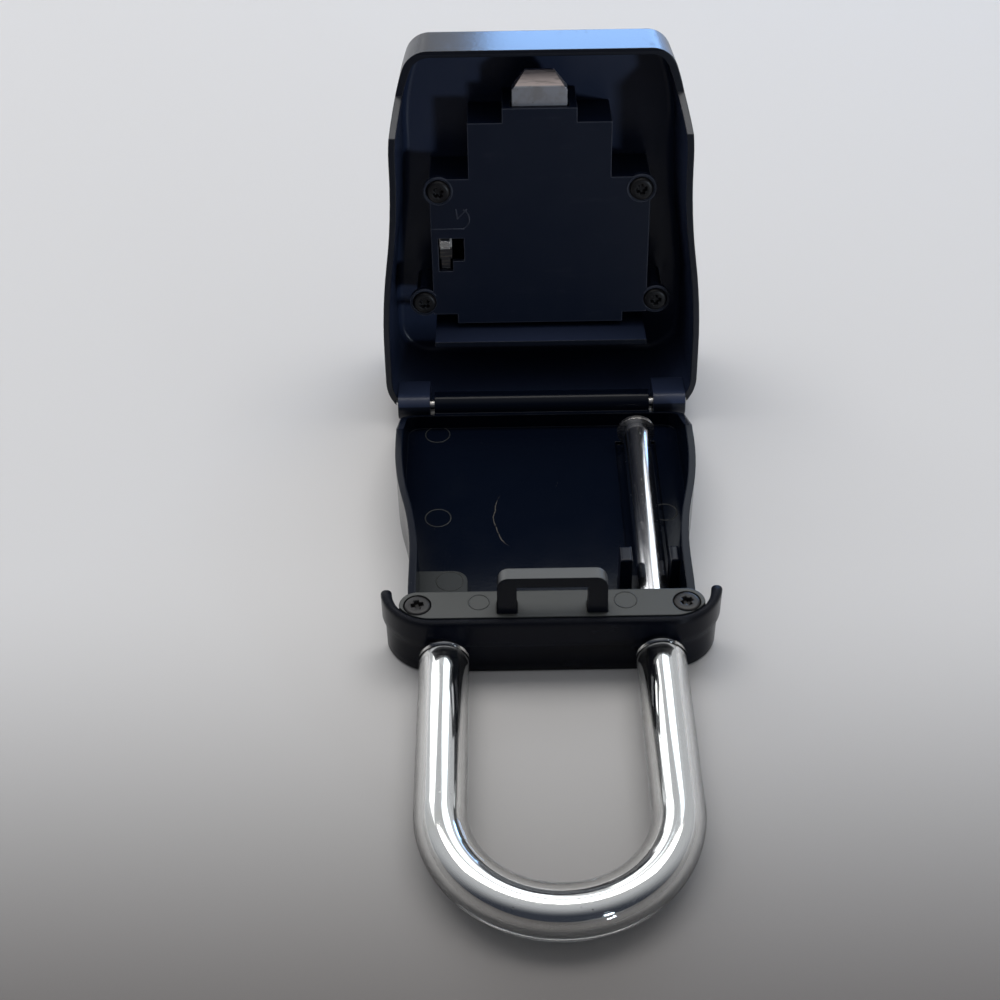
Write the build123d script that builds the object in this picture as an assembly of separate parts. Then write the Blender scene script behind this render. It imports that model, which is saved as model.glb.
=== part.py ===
from build123d import *
from math import cos, radians, sin
import os

# Shackle key safe lying on its back with its lid open.
# X runs across the safe, Y from the shackle to the hinge, Z up out of the flat back.
# The origin is the middle of the flat back face. The lid group is drawn closed and then opened.

# Case
case_length = 95.5
back_floor = 2.0
body_wall = 1.8
body_rim_height = 16.0
body_leg_room = 8.15
body_end_narrowing = 1.0
body_bow_from_front = 12.0
body_hip_flare = 4.9
body_waist_from_front = 20.0
body_hip_from_hinge = 28.7
body_end_from_hinge = 4.4
body_end_corner = 5.0
body_front_corner = 1.5
body_low_rim = 5.2
body_slope_run = 19.0
body_edge_break = 0.6

# Hinge
hinge_inset = 3.3
hinge_height = 5.0
hinge_radius = 3.5
hinge_pin_radius = 1.5
hinge_pin_half = 37.8
hinge_pin_chamfer = 0.3
hinge_press_gap = 0.02
hinge_running_gap = 0.05
barrel_half = 28.5
lid_knuckle_from = 29.7
lid_knuckle_to = 38.2
barrel_tongue = 1.5

# Lid
lid_open_angle = 98.5
lid_front_inset = 0.4
lid_tail = 4.0
lid_tail_top = 0.2
lid_draft = 0.6
lid_depth = 31.2
lid_wall = 1.6
lid_face_wall = 2.0
lid_end_overhang = 0.8
lid_waist_overhang = 5.0
lid_hip_overhang = 3.9
lid_waist_from_hinge = 68.0
lid_waist_length = 2.0
lid_hip_from_hinge = 16.0
lid_end_corner = 7.0
lid_tail_corner = 11.0
lid_face_round = 1.8
lid_inner_round = 1.8
lid_relief_from = 74.3
lid_relief_to = 80.5
lid_relief_depth = 12.9
lid_barrel_gap = 0.8
block_rib_from_hinge = 14.7
block_rib_thickness = 1.4
block_rib_half = 28.0
block_rib_clearance = 0.4

# Collar
collar_wall = 1.5
collar_plate_gap = 1.8
collar_arm_thickness = 2.8
collar_arm_length = 11.0
collar_corner = 12.5
collar_mouth_corner = 9.0
collar_top = 16.7
collar_bead_height = 7.6
collar_bead_step = 0.6
collar_lift = 0.4
collar_rim_round = 0.6
horn_tip_round = 1.1
collar_body_gap = 0.2

# Shackle
rod_radius = 3.5
shackle_half_width = 24.25
shackle_height = 6.24
shackle_bend_from_front = 43.1
long_leg_from_hinge = 12.6
short_leg_in_plate = 7.4
leg_chamfer = 0.8
leg_bore_gap = 0.1
collar_bore_gap = 0.5
sleeve_wall = 2.15
sleeve_bore_gap = 0.05
sleeve_face_gap = 0.3
sleeve_end_round = 0.9
ring_radius = 4.85
ring_thickness = 1.1
ring_groove_depth = 0.6
ring_from_hinge = 14.4
ring_opening = 3.4
ring_groove_gap = 0.05
ring_channel_gap = 0.3

# Retainer plate, its screws and the catch loop
plate_width = 8.2
plate_thickness = 2.5
plate_top = 16.8
screw_leg_gap = 0.85
screw_head_radius = 3.0
screw_head_height = 1.5
screw_shank_radius = 1.4
screw_shank_length = 9.0
screw_hole_gap = 0.15
screw_pocket_gap = 0.15
screw_proud = 0.2
screw_head_round = 0.5
screw_thread_gap = 0.05
loop_half = 12.2
loop_window_half = 7.85
loop_window_top = 23.6
loop_bar = 2.5
loop_thickness = 3.8
loop_front_lean = 1.35
loop_back_lean = 0.8
loop_from_plate_front = 1.2
loop_corner = 2.6
loop_slot_gap = 0.1
loop_foot_half = 14.2
loop_foot_thickness = 1.5
leg_block_wall = 1.25
front_wall = 2.2

# Shackle guide and floor pad
guide_from_front = 22.4
guide_length = 5.0
guide_top = 12.0
guide_left_gap = 1.25
guide_right_gap = 0.65
guide_left_prong = 2.9
guide_right_prong = 2.1
guide_base_depth = 1.0
guide_base_top = 2.3
pad_height = 2.2
pad_length = 27.8
pad_inner_edge = 19.3
pad_round = 3.5

# Mechanism cover
cover_depth = 12.8
cover_plate = 1.3
cover_skirt = 1.3
cover_floor_gap = 0.3
cover_tab_half = 9.4
cover_end_room = 14.9
cover_mid_half = 18.2
cover_tab_length = 3.7
cover_wide_half = 28.3
cover_dial_room = 6.6
cover_start = 17.9
cover_wide_start = 20.6
cover_foot_half = 22.0
cover_ear_radius = 3.9
upper_screw_half = 26.0
upper_screw_inset = 3.2
lower_screw_half = 30.7
lower_screw_from_hinge = 24.2
screw_post_radius = 2.3
cover_screw_proud = 1.0
post_gap = 0.3

# Latch bolt and the slide that draws it
bolt_half = 6.9
bolt_thickness = 4.0
bolt_cover_gap = 0.2
bolt_rest_gap = 0.5
bolt_travel = 3.4
bolt_bevel = 3.5
bolt_nose_land = 1.0
bolt_tip_half = 3.6
bolt_tip_chamfer = 4.1
carriage_half = 7.6
carriage_thickness = 2.0
fence_half = 15.4
fence_thickness = 1.4
fence_depth = 26.0
fence_tooth_half = 1.2
fence_dial_gap = 0.4
stem_half = 2.4
stem_length = 4.0
stem_inset = 0.2
stem_slot_gap = 0.4
button_half = 8.5
button_length = 7.5
button_thickness = 2.6
button_face_gap = 0.3
button_round = 0.8
button_screw_radius = 1.0
button_screw_length = 6.0

# Dials
dial_count = 4
dial_pitch = 9.0
dial_radius = 6.8
dial_width = 5.5
dial_digits = 10
dial_grip_radius = 0.6
dial_edge_break = 0.3
dial_stem_room = 19.5
dial_proud = 0.7
dial_slot_gap = 0.35
axle_radius = 1.5
axle_half = 21.4
axle_post_from = 18.8
axle_post_half_width = 3.0
axle_running_gap = 0.05
cam_radius = 3.2
cam_running_gap = 0.05
cam_flange_radius = 3.9
cam_flange_width = 0.8
cam_overhang = 1.1
cam_notch_half = 0.9
cam_notch_depth = 1.0

# Detent comb under the dials
comb_thickness = 0.5
comb_finger_half = 1.6
comb_dial_reach = 8.5
comb_base_width = 4.5
comb_dial_gap = 0.3
comb_peg_radius = 1.2
comb_peg_gap = 0.1
comb_peg_half = 9.0
comb_peg_length = 1.0
comb_shoulder_radius = 2.4

# Reset lever
lever_window_from_x = -26.5
lever_screw_room = 13.0
lever_window_length = 6.4
lever_width = 3.3
lever_tab_width = 2.4
lever_tab_length = 2.2
lever_tail_length = 2.7
lever_thickness = 1.0
lever_travel = 3.0
lever_base_gap = 0.2
lever_proud = 1.4
lever_edge_gap = 0.2

# Shutter over the dials
shutter_half = 25.0
shutter_crown_half = 23.0
shutter_length = 21.0
shutter_dial_reach = 11.5
shutter_tongue = 1.0
shutter_thickness = 1.9
shutter_travel = 22.0
shutter_dial_gap = 0.3
shutter_rail_gap = 0.3
shutter_ribs = 4
shutter_rib_pitch = 1.6
shutter_rib_height = 0.5
shutter_round = 0.45
rail_width = 1.1
rail_lip = 0.9
rail_end_room = 1.0

# Places worked out from the sizes above
collar_front_y = -case_length / 2
front_y = collar_front_y + collar_wall
hinge_y = case_length / 2 - hinge_inset
lid_reach = case_length - hinge_inset - lid_front_inset
body_waist_half = shackle_half_width + body_leg_room
body_end_half = body_waist_half - body_end_narrowing
body_hip_half = body_waist_half + body_hip_flare
lid_end_half = body_end_half + lid_end_overhang
lid_waist_half = body_waist_half + lid_waist_overhang
lid_hip_half = body_hip_half + lid_hip_overhang
plate_screw_half = shackle_half_width + rod_radius + screw_leg_gap + screw_shank_radius
leg_block_half_from = shackle_half_width - rod_radius - leg_block_wall
collar_half = plate_screw_half + plate_width / 2 + collar_plate_gap + collar_arm_thickness
guide_inner_from = shackle_half_width - rod_radius - guide_left_gap
guide_inner_to = shackle_half_width + rod_radius + guide_right_gap
guide_outer_from = guide_inner_from - guide_left_prong
guide_outer_to = guide_inner_to + guide_right_prong
plate_back_y = front_y + plate_width
plate_under = plate_top - plate_thickness
plate_mid_y = front_y + plate_width / 2
face_z = hinge_height + lid_depth
face_inner_z = face_z - lid_face_wall
cover_z = hinge_height + cover_depth
cover_under_z = cover_z + cover_plate
loop_front_y = front_y + loop_from_plate_front
loop_back_y = loop_front_y + loop_thickness
bolt_tip_y = loop_back_y + bolt_rest_gap
cover_tab_end = lid_reach - cover_end_room
cover_mid_end = cover_tab_end - cover_tab_length
carriage_front = cover_tab_end - cover_skirt - bolt_travel - bolt_rest_gap
stem_front = carriage_front - stem_inset
bolt_root = stem_front - stem_length
dial_axis_from_hinge = stem_front - dial_stem_room
cover_wide_end = dial_axis_from_hinge + cover_dial_room
upper_screw_from_hinge = cover_wide_end - upper_screw_inset
comb_base_to = dial_axis_from_hinge - comb_dial_reach
comb_base_from = comb_base_to - comb_base_width
lever_window_end = upper_screw_from_hinge - lever_screw_room
lever_window_start = lever_window_end - lever_window_length
shutter_start = dial_axis_from_hinge - shutter_dial_reach
bolt_under_z = cover_under_z + bolt_cover_gap
bolt_over_z = bolt_under_z + bolt_thickness
dial_y = hinge_y - dial_axis_from_hinge
dial_z = face_z + dial_proud - dial_radius
lever_left = lever_window_from_x + lever_edge_gap
lever_window_to_x = lever_left + lever_width + lever_travel + lever_edge_gap
rail_start = shutter_start - shutter_travel - rail_end_room
rail_end = shutter_start + shutter_length + rail_end_room
big = 3 * case_length


def from_hinge(distance):
    """The Y of a place at this distance from the hinge axis, towards the shackle."""
    return hinge_y - distance


def block(x_from, x_to, y_from, y_to, z_from, z_to):
    """A box between two corners."""
    middle = Pos((x_from + x_to) / 2, (y_from + y_to) / 2, (z_from + z_to) / 2)
    return middle * Box(x_to - x_from, y_to - y_from, z_to - z_from)


def rod_x(x_from, x_to, y, z, radius):
    """A round bar along X."""
    return Pos((x_from + x_to) / 2, y, z) * Rot(0, 90, 0) * Cylinder(radius, x_to - x_from)


def rod_y(x, y_from, y_to, z, radius):
    """A round bar along Y."""
    return Pos(x, (y_from + y_to) / 2, z) * Rot(90, 0, 0) * Cylinder(radius, y_to - y_from)


def rod_z(x, y, z_from, z_to, radius):
    """A round bar along Z."""
    return Pos(x, y, (z_from + z_to) / 2) * Cylinder(radius, z_to - z_from)


def side_prism(points, half_width):
    """A prism across the safe whose outline is given in Y and Z."""
    outline = Plane.YZ * Polygon(*points, align=None)
    return extrude(outline, amount=half_width, both=True)


def waisted_face(
    front, end_half, waist_half, waist_start, waist_end, hip_half, hip_start, back, corners
):
    """The violin outline of the case: bowed end, waist, S curve, hips and a straight hinge end."""
    front_corner, back_corner = corners
    waist_low = (waist_half, waist_start)
    waist_high = (waist_half, waist_end)
    hip_low = (hip_half, hip_start)
    turn = ((waist_half + hip_half) / 2, (waist_end + hip_start) / 2)
    edge = Line((0, front), (end_half, front))
    edge += TangentArc(waist_low, (end_half, front), tangent=(0, -1))
    edge += Line(waist_low, waist_high)
    edge += TangentArc(waist_high, turn, tangent=(0, 1))
    edge += TangentArc(hip_low, turn, tangent=(0, -1))
    edge += Line(hip_low, (hip_half, back))
    edge += Line((hip_half, back), (0, back))
    edge += mirror(edge, about=Plane.YZ)
    outline = make_face(edge)
    front_points = [v for v in outline.vertices() if abs(v.Y - front) < 0.01 and abs(v.X) > 1]
    outline = fillet(front_points, front_corner)
    back_points = [v for v in outline.vertices() if abs(v.Y - back) < 0.01 and abs(v.X) > 1]
    return fillet(back_points, back_corner)


def body_outline(inset, back):
    """The body's outline, drawn in by an inset, with its hinge end at the given Y."""
    return waisted_face(
        front_y + inset,
        body_end_half - inset,
        body_waist_half - inset,
        front_y + body_bow_from_front,
        front_y + body_waist_from_front,
        body_hip_half - inset,
        from_hinge(body_hip_from_hinge),
        back,
        (body_front_corner, body_end_corner - inset),
    )


def lid_outline(inset, front, back):
    """The lid's outline, drawn in by an inset, between a shackle end and a hinge end."""
    return waisted_face(
        front + inset,
        lid_end_half - inset,
        lid_waist_half - inset,
        from_hinge(lid_waist_from_hinge),
        from_hinge(lid_waist_from_hinge - lid_waist_length),
        lid_hip_half - inset,
        from_hinge(lid_hip_from_hinge),
        back - inset,
        (lid_end_corner - inset, lid_tail_corner - inset),
    )


# Body

def leg_bores(radius, y_from, y_to):
    """The two round passages for the shackle's legs."""
    right = rod_y(shackle_half_width, y_from, y_to, shackle_height, radius)
    left = rod_y(-shackle_half_width, y_from, y_to, shackle_height, radius)
    return right + left


def body_flange():
    """The flange of the body that fills the collar's arms at the shackle end."""
    slab = block(-collar_half, collar_half, front_y, front_y + front_wall, 0, plate_under)
    return slab & extrude(collar_mouth(collar_body_gap), amount=plate_under)


def loop_foot_room():
    """The seat under the retainer plate that holds the catch loop's foot."""
    low = plate_under - loop_foot_thickness
    half = loop_foot_half + loop_slot_gap
    y_range = (loop_front_y - loop_slot_gap, loop_back_y + loop_slot_gap)
    return block(-half, half, *y_range, low, plate_under + 1)


def ring_channel():
    """The shallow channel in the floor that the retaining ring slides along."""
    half = ring_radius + ring_channel_gap
    y_range = (guide_y() + guide_length, from_hinge(ring_from_hinge) + ring_thickness + ring_channel_gap)
    low = shackle_height - ring_radius - ring_channel_gap
    return block(shackle_half_width - half, shackle_half_width + half, *y_range, low, back_floor + body_wall)


def body_front_block():
    """Front wall, leg blocks and the middle pier, all under the retainer plate."""
    ears = rod_z(plate_screw_half, plate_mid_y, 0, plate_under, plate_width / 2)
    ears += rod_z(-plate_screw_half, plate_mid_y, 0, plate_under, plate_width / 2)
    wall_half = plate_screw_half
    front = block(-wall_half, wall_half, front_y, front_y + front_wall, 0, plate_under)
    right = block(leg_block_half_from, plate_screw_half, front_y, plate_back_y, 0, plate_under)
    left = block(-plate_screw_half, -leg_block_half_from, front_y, plate_back_y, 0, plate_under)
    pier_top = plate_under - loop_foot_thickness
    pier = block(-loop_foot_half, loop_foot_half, front_y, plate_back_y, 0, pier_top)
    return ears + front + right + left + pier + body_flange()


def body_shell():
    """The waisted tray that holds the keys, with the hinge barrel and the shackle's end block."""
    back = from_hinge(body_end_from_hinge)
    tray = extrude(body_outline(0, back), amount=body_rim_height)
    inner_outline = body_outline(body_wall, back - body_wall)
    hollow = Pos(0, 0, back_floor) * extrude(inner_outline, amount=body_rim_height)
    slope_start = back - body_slope_run
    slope = side_prism(
        [
            (slope_start, body_rim_height),
            (back, body_low_rim),
            (back + body_wall, body_low_rim),
            (back + body_wall, body_rim_height + body_wall),
            (slope_start, body_rim_height + body_wall),
        ],
        body_hip_half + body_wall,
    )
    pad = block(-body_hip_half, -pad_inner_edge, front_y, front_y + pad_length, 0, back_floor + pad_height)
    pad_corner = pad.edges().filter_by(Axis.Z).sort_by(lambda e: e.center().X + e.center().Y)[-1]
    pad = fillet(pad_corner, pad_round) & extrude(body_outline(0, back), amount=body_rim_height)
    shell = tray - hollow - slope + pad
    over_plate = block(-big, big, front_y - 1, plate_back_y, plate_under, big)
    shell = shell - over_plate + body_front_block()
    tongue = block(
        -barrel_half, barrel_half, back - body_wall, hinge_y + barrel_tongue, 0, hinge_height
    )
    barrel = rod_x(-barrel_half, barrel_half, hinge_y, hinge_height, hinge_radius)
    shell = shell + tongue + barrel
    bore = rod_x(-big / 2, big / 2, hinge_y, hinge_height, hinge_pin_radius + hinge_press_gap)
    bores = leg_bores(rod_radius + leg_bore_gap, front_y - 1, plate_back_y + 1)
    pilots = screw_shanks(plate_screws_at(), plate_top + screw_proud, -1, screw_thread_gap)
    guide_seat = block(
        guide_outer_from, guide_outer_to,
        guide_y(), guide_y() + guide_length,
        guide_base_depth, back_floor + body_wall,
    )
    return shell - bore - bores - pilots - guide_seat - loop_foot_room() - ring_channel() - collar_room()


# Screws

def plate_screws_at():
    """The places of the two retainer screws."""
    return [(-plate_screw_half, plate_mid_y), (plate_screw_half, plate_mid_y)]


def cover_screws_at():
    """The places of the four cover screws, lid closed."""
    upper = from_hinge(upper_screw_from_hinge)
    lower = from_hinge(lower_screw_from_hinge)
    return [
        (-upper_screw_half, upper),
        (upper_screw_half, upper),
        (-lower_screw_half, lower),
        (lower_screw_half, lower),
    ]


def screw(x, y, top, way):
    """A pan head screw whose head top is at a height and whose shank runs down or up from it."""
    head = rod_z(x, y, *sorted((top, top + way * screw_head_height)), screw_head_radius)
    outer_edge = head.edges().filter_by(GeomType.CIRCLE).sort_by(Axis.Z)
    head = fillet(outer_edge[-1] if way < 0 else outer_edge[0], screw_head_round)
    under = top + way * screw_head_height
    return head + rod_z(x, y, *sorted((under, under + way * screw_shank_length)), screw_shank_radius)


def screw_shanks(places, top, way, gap):
    """The holes that screws cut, each as deep as its shank and a little wider."""
    end = top + way * (screw_head_height + screw_shank_length + gap)
    low, high = sorted((top, end))
    holes = [rod_z(x, y, low, high, screw_shank_radius + gap) for x, y in places]
    return Part() + holes


def screw_pockets(places, top, way):
    """The round pockets that screw heads sit in."""
    low, high = sorted((top - way, top + way * screw_head_height))
    return Part() + [rod_z(x, y, low, high, screw_head_radius + screw_pocket_gap) for x, y in places]


# Collar, retainer plate, catch loop and shackle guide

def collar_mouth(inset):
    """The space inside the collar's U seen from above, drawn in by an inset at its sides."""
    half = collar_half - collar_arm_thickness - inset
    mouth = Pos(0, front_y + big / 2) * Rectangle(2 * half, big)
    return fillet(mouth.vertices().group_by(Axis.Y)[0], collar_mouth_corner - inset)


def collar_room():
    """What the body and the plate leave free for the collar: all that lies outside its mouth."""
    end = collar_front_y + collar_arm_length + collar_body_gap
    room = block(-collar_half, collar_half, collar_front_y - 1, end, -1, plate_top + 1)
    return room - Pos(0, 0, -2) * extrude(collar_mouth(collar_body_gap), amount=plate_top + 4)


def collar_band(step, z_from, z_to):
    """A band of the collar's U, drawn in by a step, with its two round-tipped horns."""
    half = collar_half - step
    low = collar_front_y + step
    length = collar_arm_length - 2 * step
    outer = Pos(0, low + collar_corner) * Rectangle(2 * half, 2 * collar_corner)
    outer = fillet(outer.vertices().group_by(Axis.Y)[0], collar_corner - step)
    outline = outer - collar_mouth(0)
    outline &= Pos(0, low + length / 2) * Rectangle(2 * collar_half, length)
    band = Pos(0, 0, z_from) * extrude(outline, amount=z_to - z_from)
    tips = band.edges().filter_by(Axis.Z).group_by(Axis.Y)[-1]
    return fillet(tips, horn_tip_round * (collar_arm_thickness - step) / collar_arm_thickness)


def bumper_collar():
    """The moulded collar round the shackle end: a thick bead over a lower skirt, with two horns."""
    bead_low = collar_top - collar_bead_height
    bead = collar_band(0, bead_low, collar_top)
    rim = bead.edges().group_by(Axis.Z)[-1]
    bead = fillet(rim, collar_rim_round)
    skirt = collar_band(collar_bead_step, collar_lift, bead_low)
    bores = leg_bores(rod_radius + collar_bore_gap, collar_front_y - 1, front_y + 1)
    return bead + skirt - bores


def retainer_plate():
    """The plate over the shackle's legs, with round ends, two screw pockets and two loop slots."""
    outline = Pos(0, plate_mid_y) * SlotCenterToCenter(2 * plate_screw_half, plate_width)
    plate = Pos(0, 0, plate_under) * extrude(outline, amount=plate_thickness)
    head_top = plate_top + screw_proud
    plate -= screw_pockets(plate_screws_at(), head_top, -1)
    plate -= screw_shanks(plate_screws_at(), head_top, -1, screw_hole_gap)
    for side in (-1, 1):
        edges = sorted((side * (loop_window_half - loop_slot_gap), side * (loop_half + loop_slot_gap)))
        y_range = (loop_front_y - loop_slot_gap, loop_back_y + loop_slot_gap)
        plate -= block(*edges, *y_range, plate_under - 1, plate_top + 1)
    return plate - collar_room()


def retainer_screws():
    """The two screws that hold the retainer plate."""
    top = plate_top + screw_proud
    return Compound(children=[screw(x, y, top, -1) for x, y in plate_screws_at()])


def catch_loop():
    """The staple that the latch bolt enters, held by a foot under the retainer plate."""
    top = loop_window_top + loop_bar
    foot_low = plate_under - loop_foot_thickness
    staple = block(-loop_half, loop_half, loop_front_y, loop_back_y + loop_back_lean, plate_under, top)
    shoulders = staple.edges().filter_by(Axis.Y).group_by(Axis.Z)[-1]
    profile = side_prism(
        [
            (loop_front_y, plate_under),
            (loop_front_y, plate_top),
            (loop_front_y + loop_front_lean, top),
            (loop_back_y + loop_back_lean, top),
            (loop_back_y, loop_window_top),
            (loop_back_y, plate_under),
        ],
        loop_half + 1,
    )
    staple = fillet(shoulders, loop_corner) & profile
    window = block(
        -loop_window_half, loop_window_half, loop_front_y - 1, loop_back_y + 2, plate_under, loop_window_top
    )
    foot = block(-loop_foot_half, loop_foot_half, loop_front_y, loop_back_y, foot_low, plate_under)
    return staple - window + foot


def guide_y():
    """The Y of the shackle guide's front face."""
    return front_y + guide_from_front


def shackle_guide():
    """The two prongs that guide the long leg, on one base let into the floor."""
    solid = block(
        guide_outer_from, guide_outer_to, guide_y(), guide_y() + guide_length, guide_base_depth, guide_top
    )
    gap = block(
        guide_inner_from, guide_inner_to, guide_y() - 1, guide_y() + guide_length + 1, guide_base_top, big
    )
    tops = (solid - gap).edges().group_by(Axis.Z)[-1]
    return fillet(tops, body_edge_break)


def hinge_pin():
    """The steel pin through the barrel and the lid's knuckles."""
    pin = rod_x(-hinge_pin_half, hinge_pin_half, hinge_y, hinge_height, hinge_pin_radius)
    return chamfer(pin.edges().filter_by(GeomType.CIRCLE), hinge_pin_chamfer)


# Shackle

def u_path(long_end, short_end):
    """The centre line of the shackle between two ends given in Y."""
    bend_y = collar_front_y - shackle_bend_from_front
    right = (shackle_half_width, bend_y, shackle_height)
    left = (-shackle_half_width, bend_y, shackle_height)
    path = Line((shackle_half_width, long_end, shackle_height), right)
    path += ThreePointArc(right, (0, bend_y - shackle_half_width, shackle_height), left)
    path += Line(left, (-shackle_half_width, short_end, shackle_height))
    return path


def u_bar(radius, long_end, short_end):
    """A round bar along the shackle's centre line."""
    start = Plane((shackle_half_width, long_end, shackle_height), x_dir=(1, 0, 0), z_dir=(0, -1, 0))
    return sweep(start * Circle(radius), path=u_path(long_end, short_end))


def shackle():
    """The steel U with its long leg in the case, chamfered ends and the ring's groove."""
    bar = u_bar(rod_radius, from_hinge(long_leg_from_hinge), front_y + short_leg_in_plate)
    ends = bar.edges().filter_by(GeomType.CIRCLE).sort_by(Axis.Y)
    long_end = ends[-1]
    short_end = [edge for edge in ends if edge.center().X < 0][-1]
    bar = chamfer([long_end, short_end], leg_chamfer)
    ring_y = from_hinge(ring_from_hinge)
    groove = rod_y(shackle_half_width, ring_y, ring_y + ring_thickness, shackle_height, rod_radius + 1)
    core = rod_y(shackle_half_width, ring_y - 1, ring_y + 2, shackle_height, rod_radius - ring_groove_depth)
    return bar - (groove - core)


def shackle_sleeve():
    """The clear tube drawn over the part of the shackle outside the case."""
    end = collar_front_y - sleeve_face_gap
    tube = u_bar(rod_radius + sleeve_wall, end, end)
    rims = [e for e in tube.edges().filter_by(GeomType.CIRCLE) if abs(e.center().Y - end) < 0.01]
    tube = fillet(rims, sleeve_end_round)
    return tube - u_bar(rod_radius + sleeve_bore_gap, end + 1, end + 1)


def retaining_ring():
    """The open ring in the groove of the long leg, which the lid's rib blocks."""
    ring_y = from_hinge(ring_from_hinge)
    outer = rod_y(shackle_half_width, ring_y, ring_y + ring_thickness, shackle_height, ring_radius)
    inner_radius = rod_radius - ring_groove_depth + ring_groove_gap
    inner = rod_y(shackle_half_width, ring_y - 1, ring_y + 2, shackle_height, inner_radius)
    mouth = block(
        shackle_half_width - ring_opening / 2, shackle_half_width + ring_opening / 2,
        ring_y - 1, ring_y + 2, shackle_height - 2 * ring_radius, shackle_height,
    )
    return outer - inner - mouth


# Lid, drawn closed

def lid_body(inset, top):
    """A solid of the lid's outline whose walls lean in a little towards its face at the given height."""
    lean = lid_draft * (top - hinge_height) / lid_depth
    rim = lid_outline(inset, from_hinge(lid_reach), from_hinge(-lid_tail))
    face_tail = lid_tail - (lid_tail - lid_tail_top) * (top - hinge_height) / lid_depth
    face = lid_outline(inset + lean, from_hinge(lid_reach), from_hinge(-face_tail) + lean)
    return loft([Pos(0, 0, hinge_height) * rim, Pos(0, 0, top) * face], ruled=True)


def lid_rim_relief():
    """What the lid's rim loses at the shackle end, so that it stands over the collar."""
    low = hinge_height - 1
    high = hinge_height + lid_relief_depth
    points = [
        (from_hinge(lid_relief_from), low),
        (from_hinge(lid_relief_from), hinge_height),
        (from_hinge(lid_relief_to), high),
        (from_hinge(lid_reach + lid_tail), high),
        (from_hinge(lid_reach + lid_tail), low),
    ]
    return side_prism(points, big / 2)


def lid_knuckles():
    """The two outer knuckles of the hinge and the webs that carry them on the lid's end wall."""
    web_top = hinge_height + 2 * hinge_radius
    solids = []
    for side in (-1, 1):
        x_range = sorted((side * lid_knuckle_from, side * lid_knuckle_to))
        knuckle = rod_x(*x_range, hinge_y, hinge_height, hinge_radius)
        web = block(*x_range, hinge_y - hinge_radius, hinge_y + lid_tail, hinge_height, web_top)
        solids.append(knuckle + (web & lid_body(0, face_z)))
    return Part() + solids


def dial_places():
    """The X of each dial's middle."""
    first = -(dial_count - 1) * dial_pitch / 2
    return [first + index * dial_pitch for index in range(dial_count)]


def dial_slots():
    """The openings in the lid's face that the dials stand through."""
    half_width = dial_width / 2 + dial_slot_gap
    reach = (dial_radius ** 2 - (face_inner_z - dial_z) ** 2) ** 0.5 + dial_slot_gap
    slots = [
        block(x - half_width, x + half_width, dial_y - reach, dial_y + reach, face_inner_z - 1, face_z + 1)
        for x in dial_places()
    ]
    return Part() + slots


def axle_posts():
    """Two posts inside the lid's face that hold the dial axle."""
    low = dial_z - axle_post_half_width
    posts = []
    for side in (-1, 1):
        x_range = sorted((side * axle_post_from, side * axle_half))
        post = block(
            *x_range, dial_y - axle_post_half_width, dial_y + axle_post_half_width, low, face_inner_z
        )
        posts.append(post)
    return Part() + posts - rod_x(-big / 2, big / 2, dial_y, dial_z, axle_radius + hinge_press_gap)


def cover_posts():
    """Four posts inside the lid's face that the cover screws enter."""
    posts = [
        rod_z(x, y, cover_under_z, face_inner_z, screw_post_radius) for x, y in cover_screws_at()
    ]
    holes = screw_shanks(cover_screws_at(), cover_z - cover_screw_proud, 1, screw_thread_gap)
    return Part() + posts - holes


def comb_pegs():
    """Two shouldered pegs that carry the detent comb."""
    y = from_hinge((comb_base_from + comb_base_to) / 2)
    shoulder = comb_top_z()
    pegs = []
    for side in (-1, 1):
        x = side * comb_peg_half
        peg = rod_z(x, y, shoulder, face_inner_z, comb_shoulder_radius)
        pegs.append(peg + rod_z(x, y, shoulder - comb_peg_length, shoulder, comb_peg_radius))
    return Part() + pegs


def shutter_rails():
    """Two lipped rails on the lid's face that the shutter slides between."""
    lip_low = tongue_z() + shutter_tongue + shutter_rail_gap
    rails = []
    y_range = (from_hinge(rail_end), from_hinge(rail_start))
    for side in (-1, 1):
        web_from = shutter_half + shutter_rail_gap
        web = sorted((side * web_from, side * (web_from + rail_width)))
        lip = sorted((side * (shutter_crown_half + shutter_rail_gap), side * (web_from + rail_width)))
        rails.append(block(*web, *y_range, face_z, lip_low + rail_lip))
        rails.append(block(*lip, *y_range, lip_low, lip_low + rail_lip))
    return Part() + rails


def lid_shell():
    """The deep lid: waisted walls, relieved rim, knuckles, blocking rib, posts and face openings."""
    outer = lid_body(0, face_z)
    face_edges = outer.edges().group_by(Axis.Z)[-1]
    outer = fillet(face_edges, lid_face_round)
    hollow = lid_body(lid_wall, face_inner_z)
    hollow = fillet(hollow.edges().group_by(Axis.Z)[-1], lid_inner_round)
    shell = outer - hollow - lid_rim_relief()
    barrel_room = block(
        -lid_knuckle_from, lid_knuckle_from,
        hinge_y - hinge_radius, hinge_y + 2 * lid_tail,
        hinge_height - 1, hinge_height + hinge_radius + lid_barrel_gap,
    )
    rib_low = shackle_height + rod_radius + block_rib_clearance
    rib_y = from_hinge(block_rib_from_hinge)
    rib = block(-block_rib_half, block_rib_half, rib_y - block_rib_thickness, rib_y, rib_low, face_inner_z)
    shell = shell - barrel_room + lid_knuckles() + rib
    shell = shell + axle_posts() + cover_posts() + comb_pegs() + shutter_rails()
    slot = block(
        -stem_half - stem_slot_gap, stem_half + stem_slot_gap,
        from_hinge(stem_front + bolt_travel) - stem_slot_gap,
        from_hinge(stem_front - stem_length) + stem_slot_gap,
        face_inner_z - 1, face_z + 1,
    )
    pin_room = rod_x(
        -hinge_pin_half - 1, hinge_pin_half + 1, hinge_y, hinge_height, hinge_pin_radius + hinge_running_gap
    )
    return shell - dial_slots() - slot - pin_room


# Mechanism cover

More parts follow.
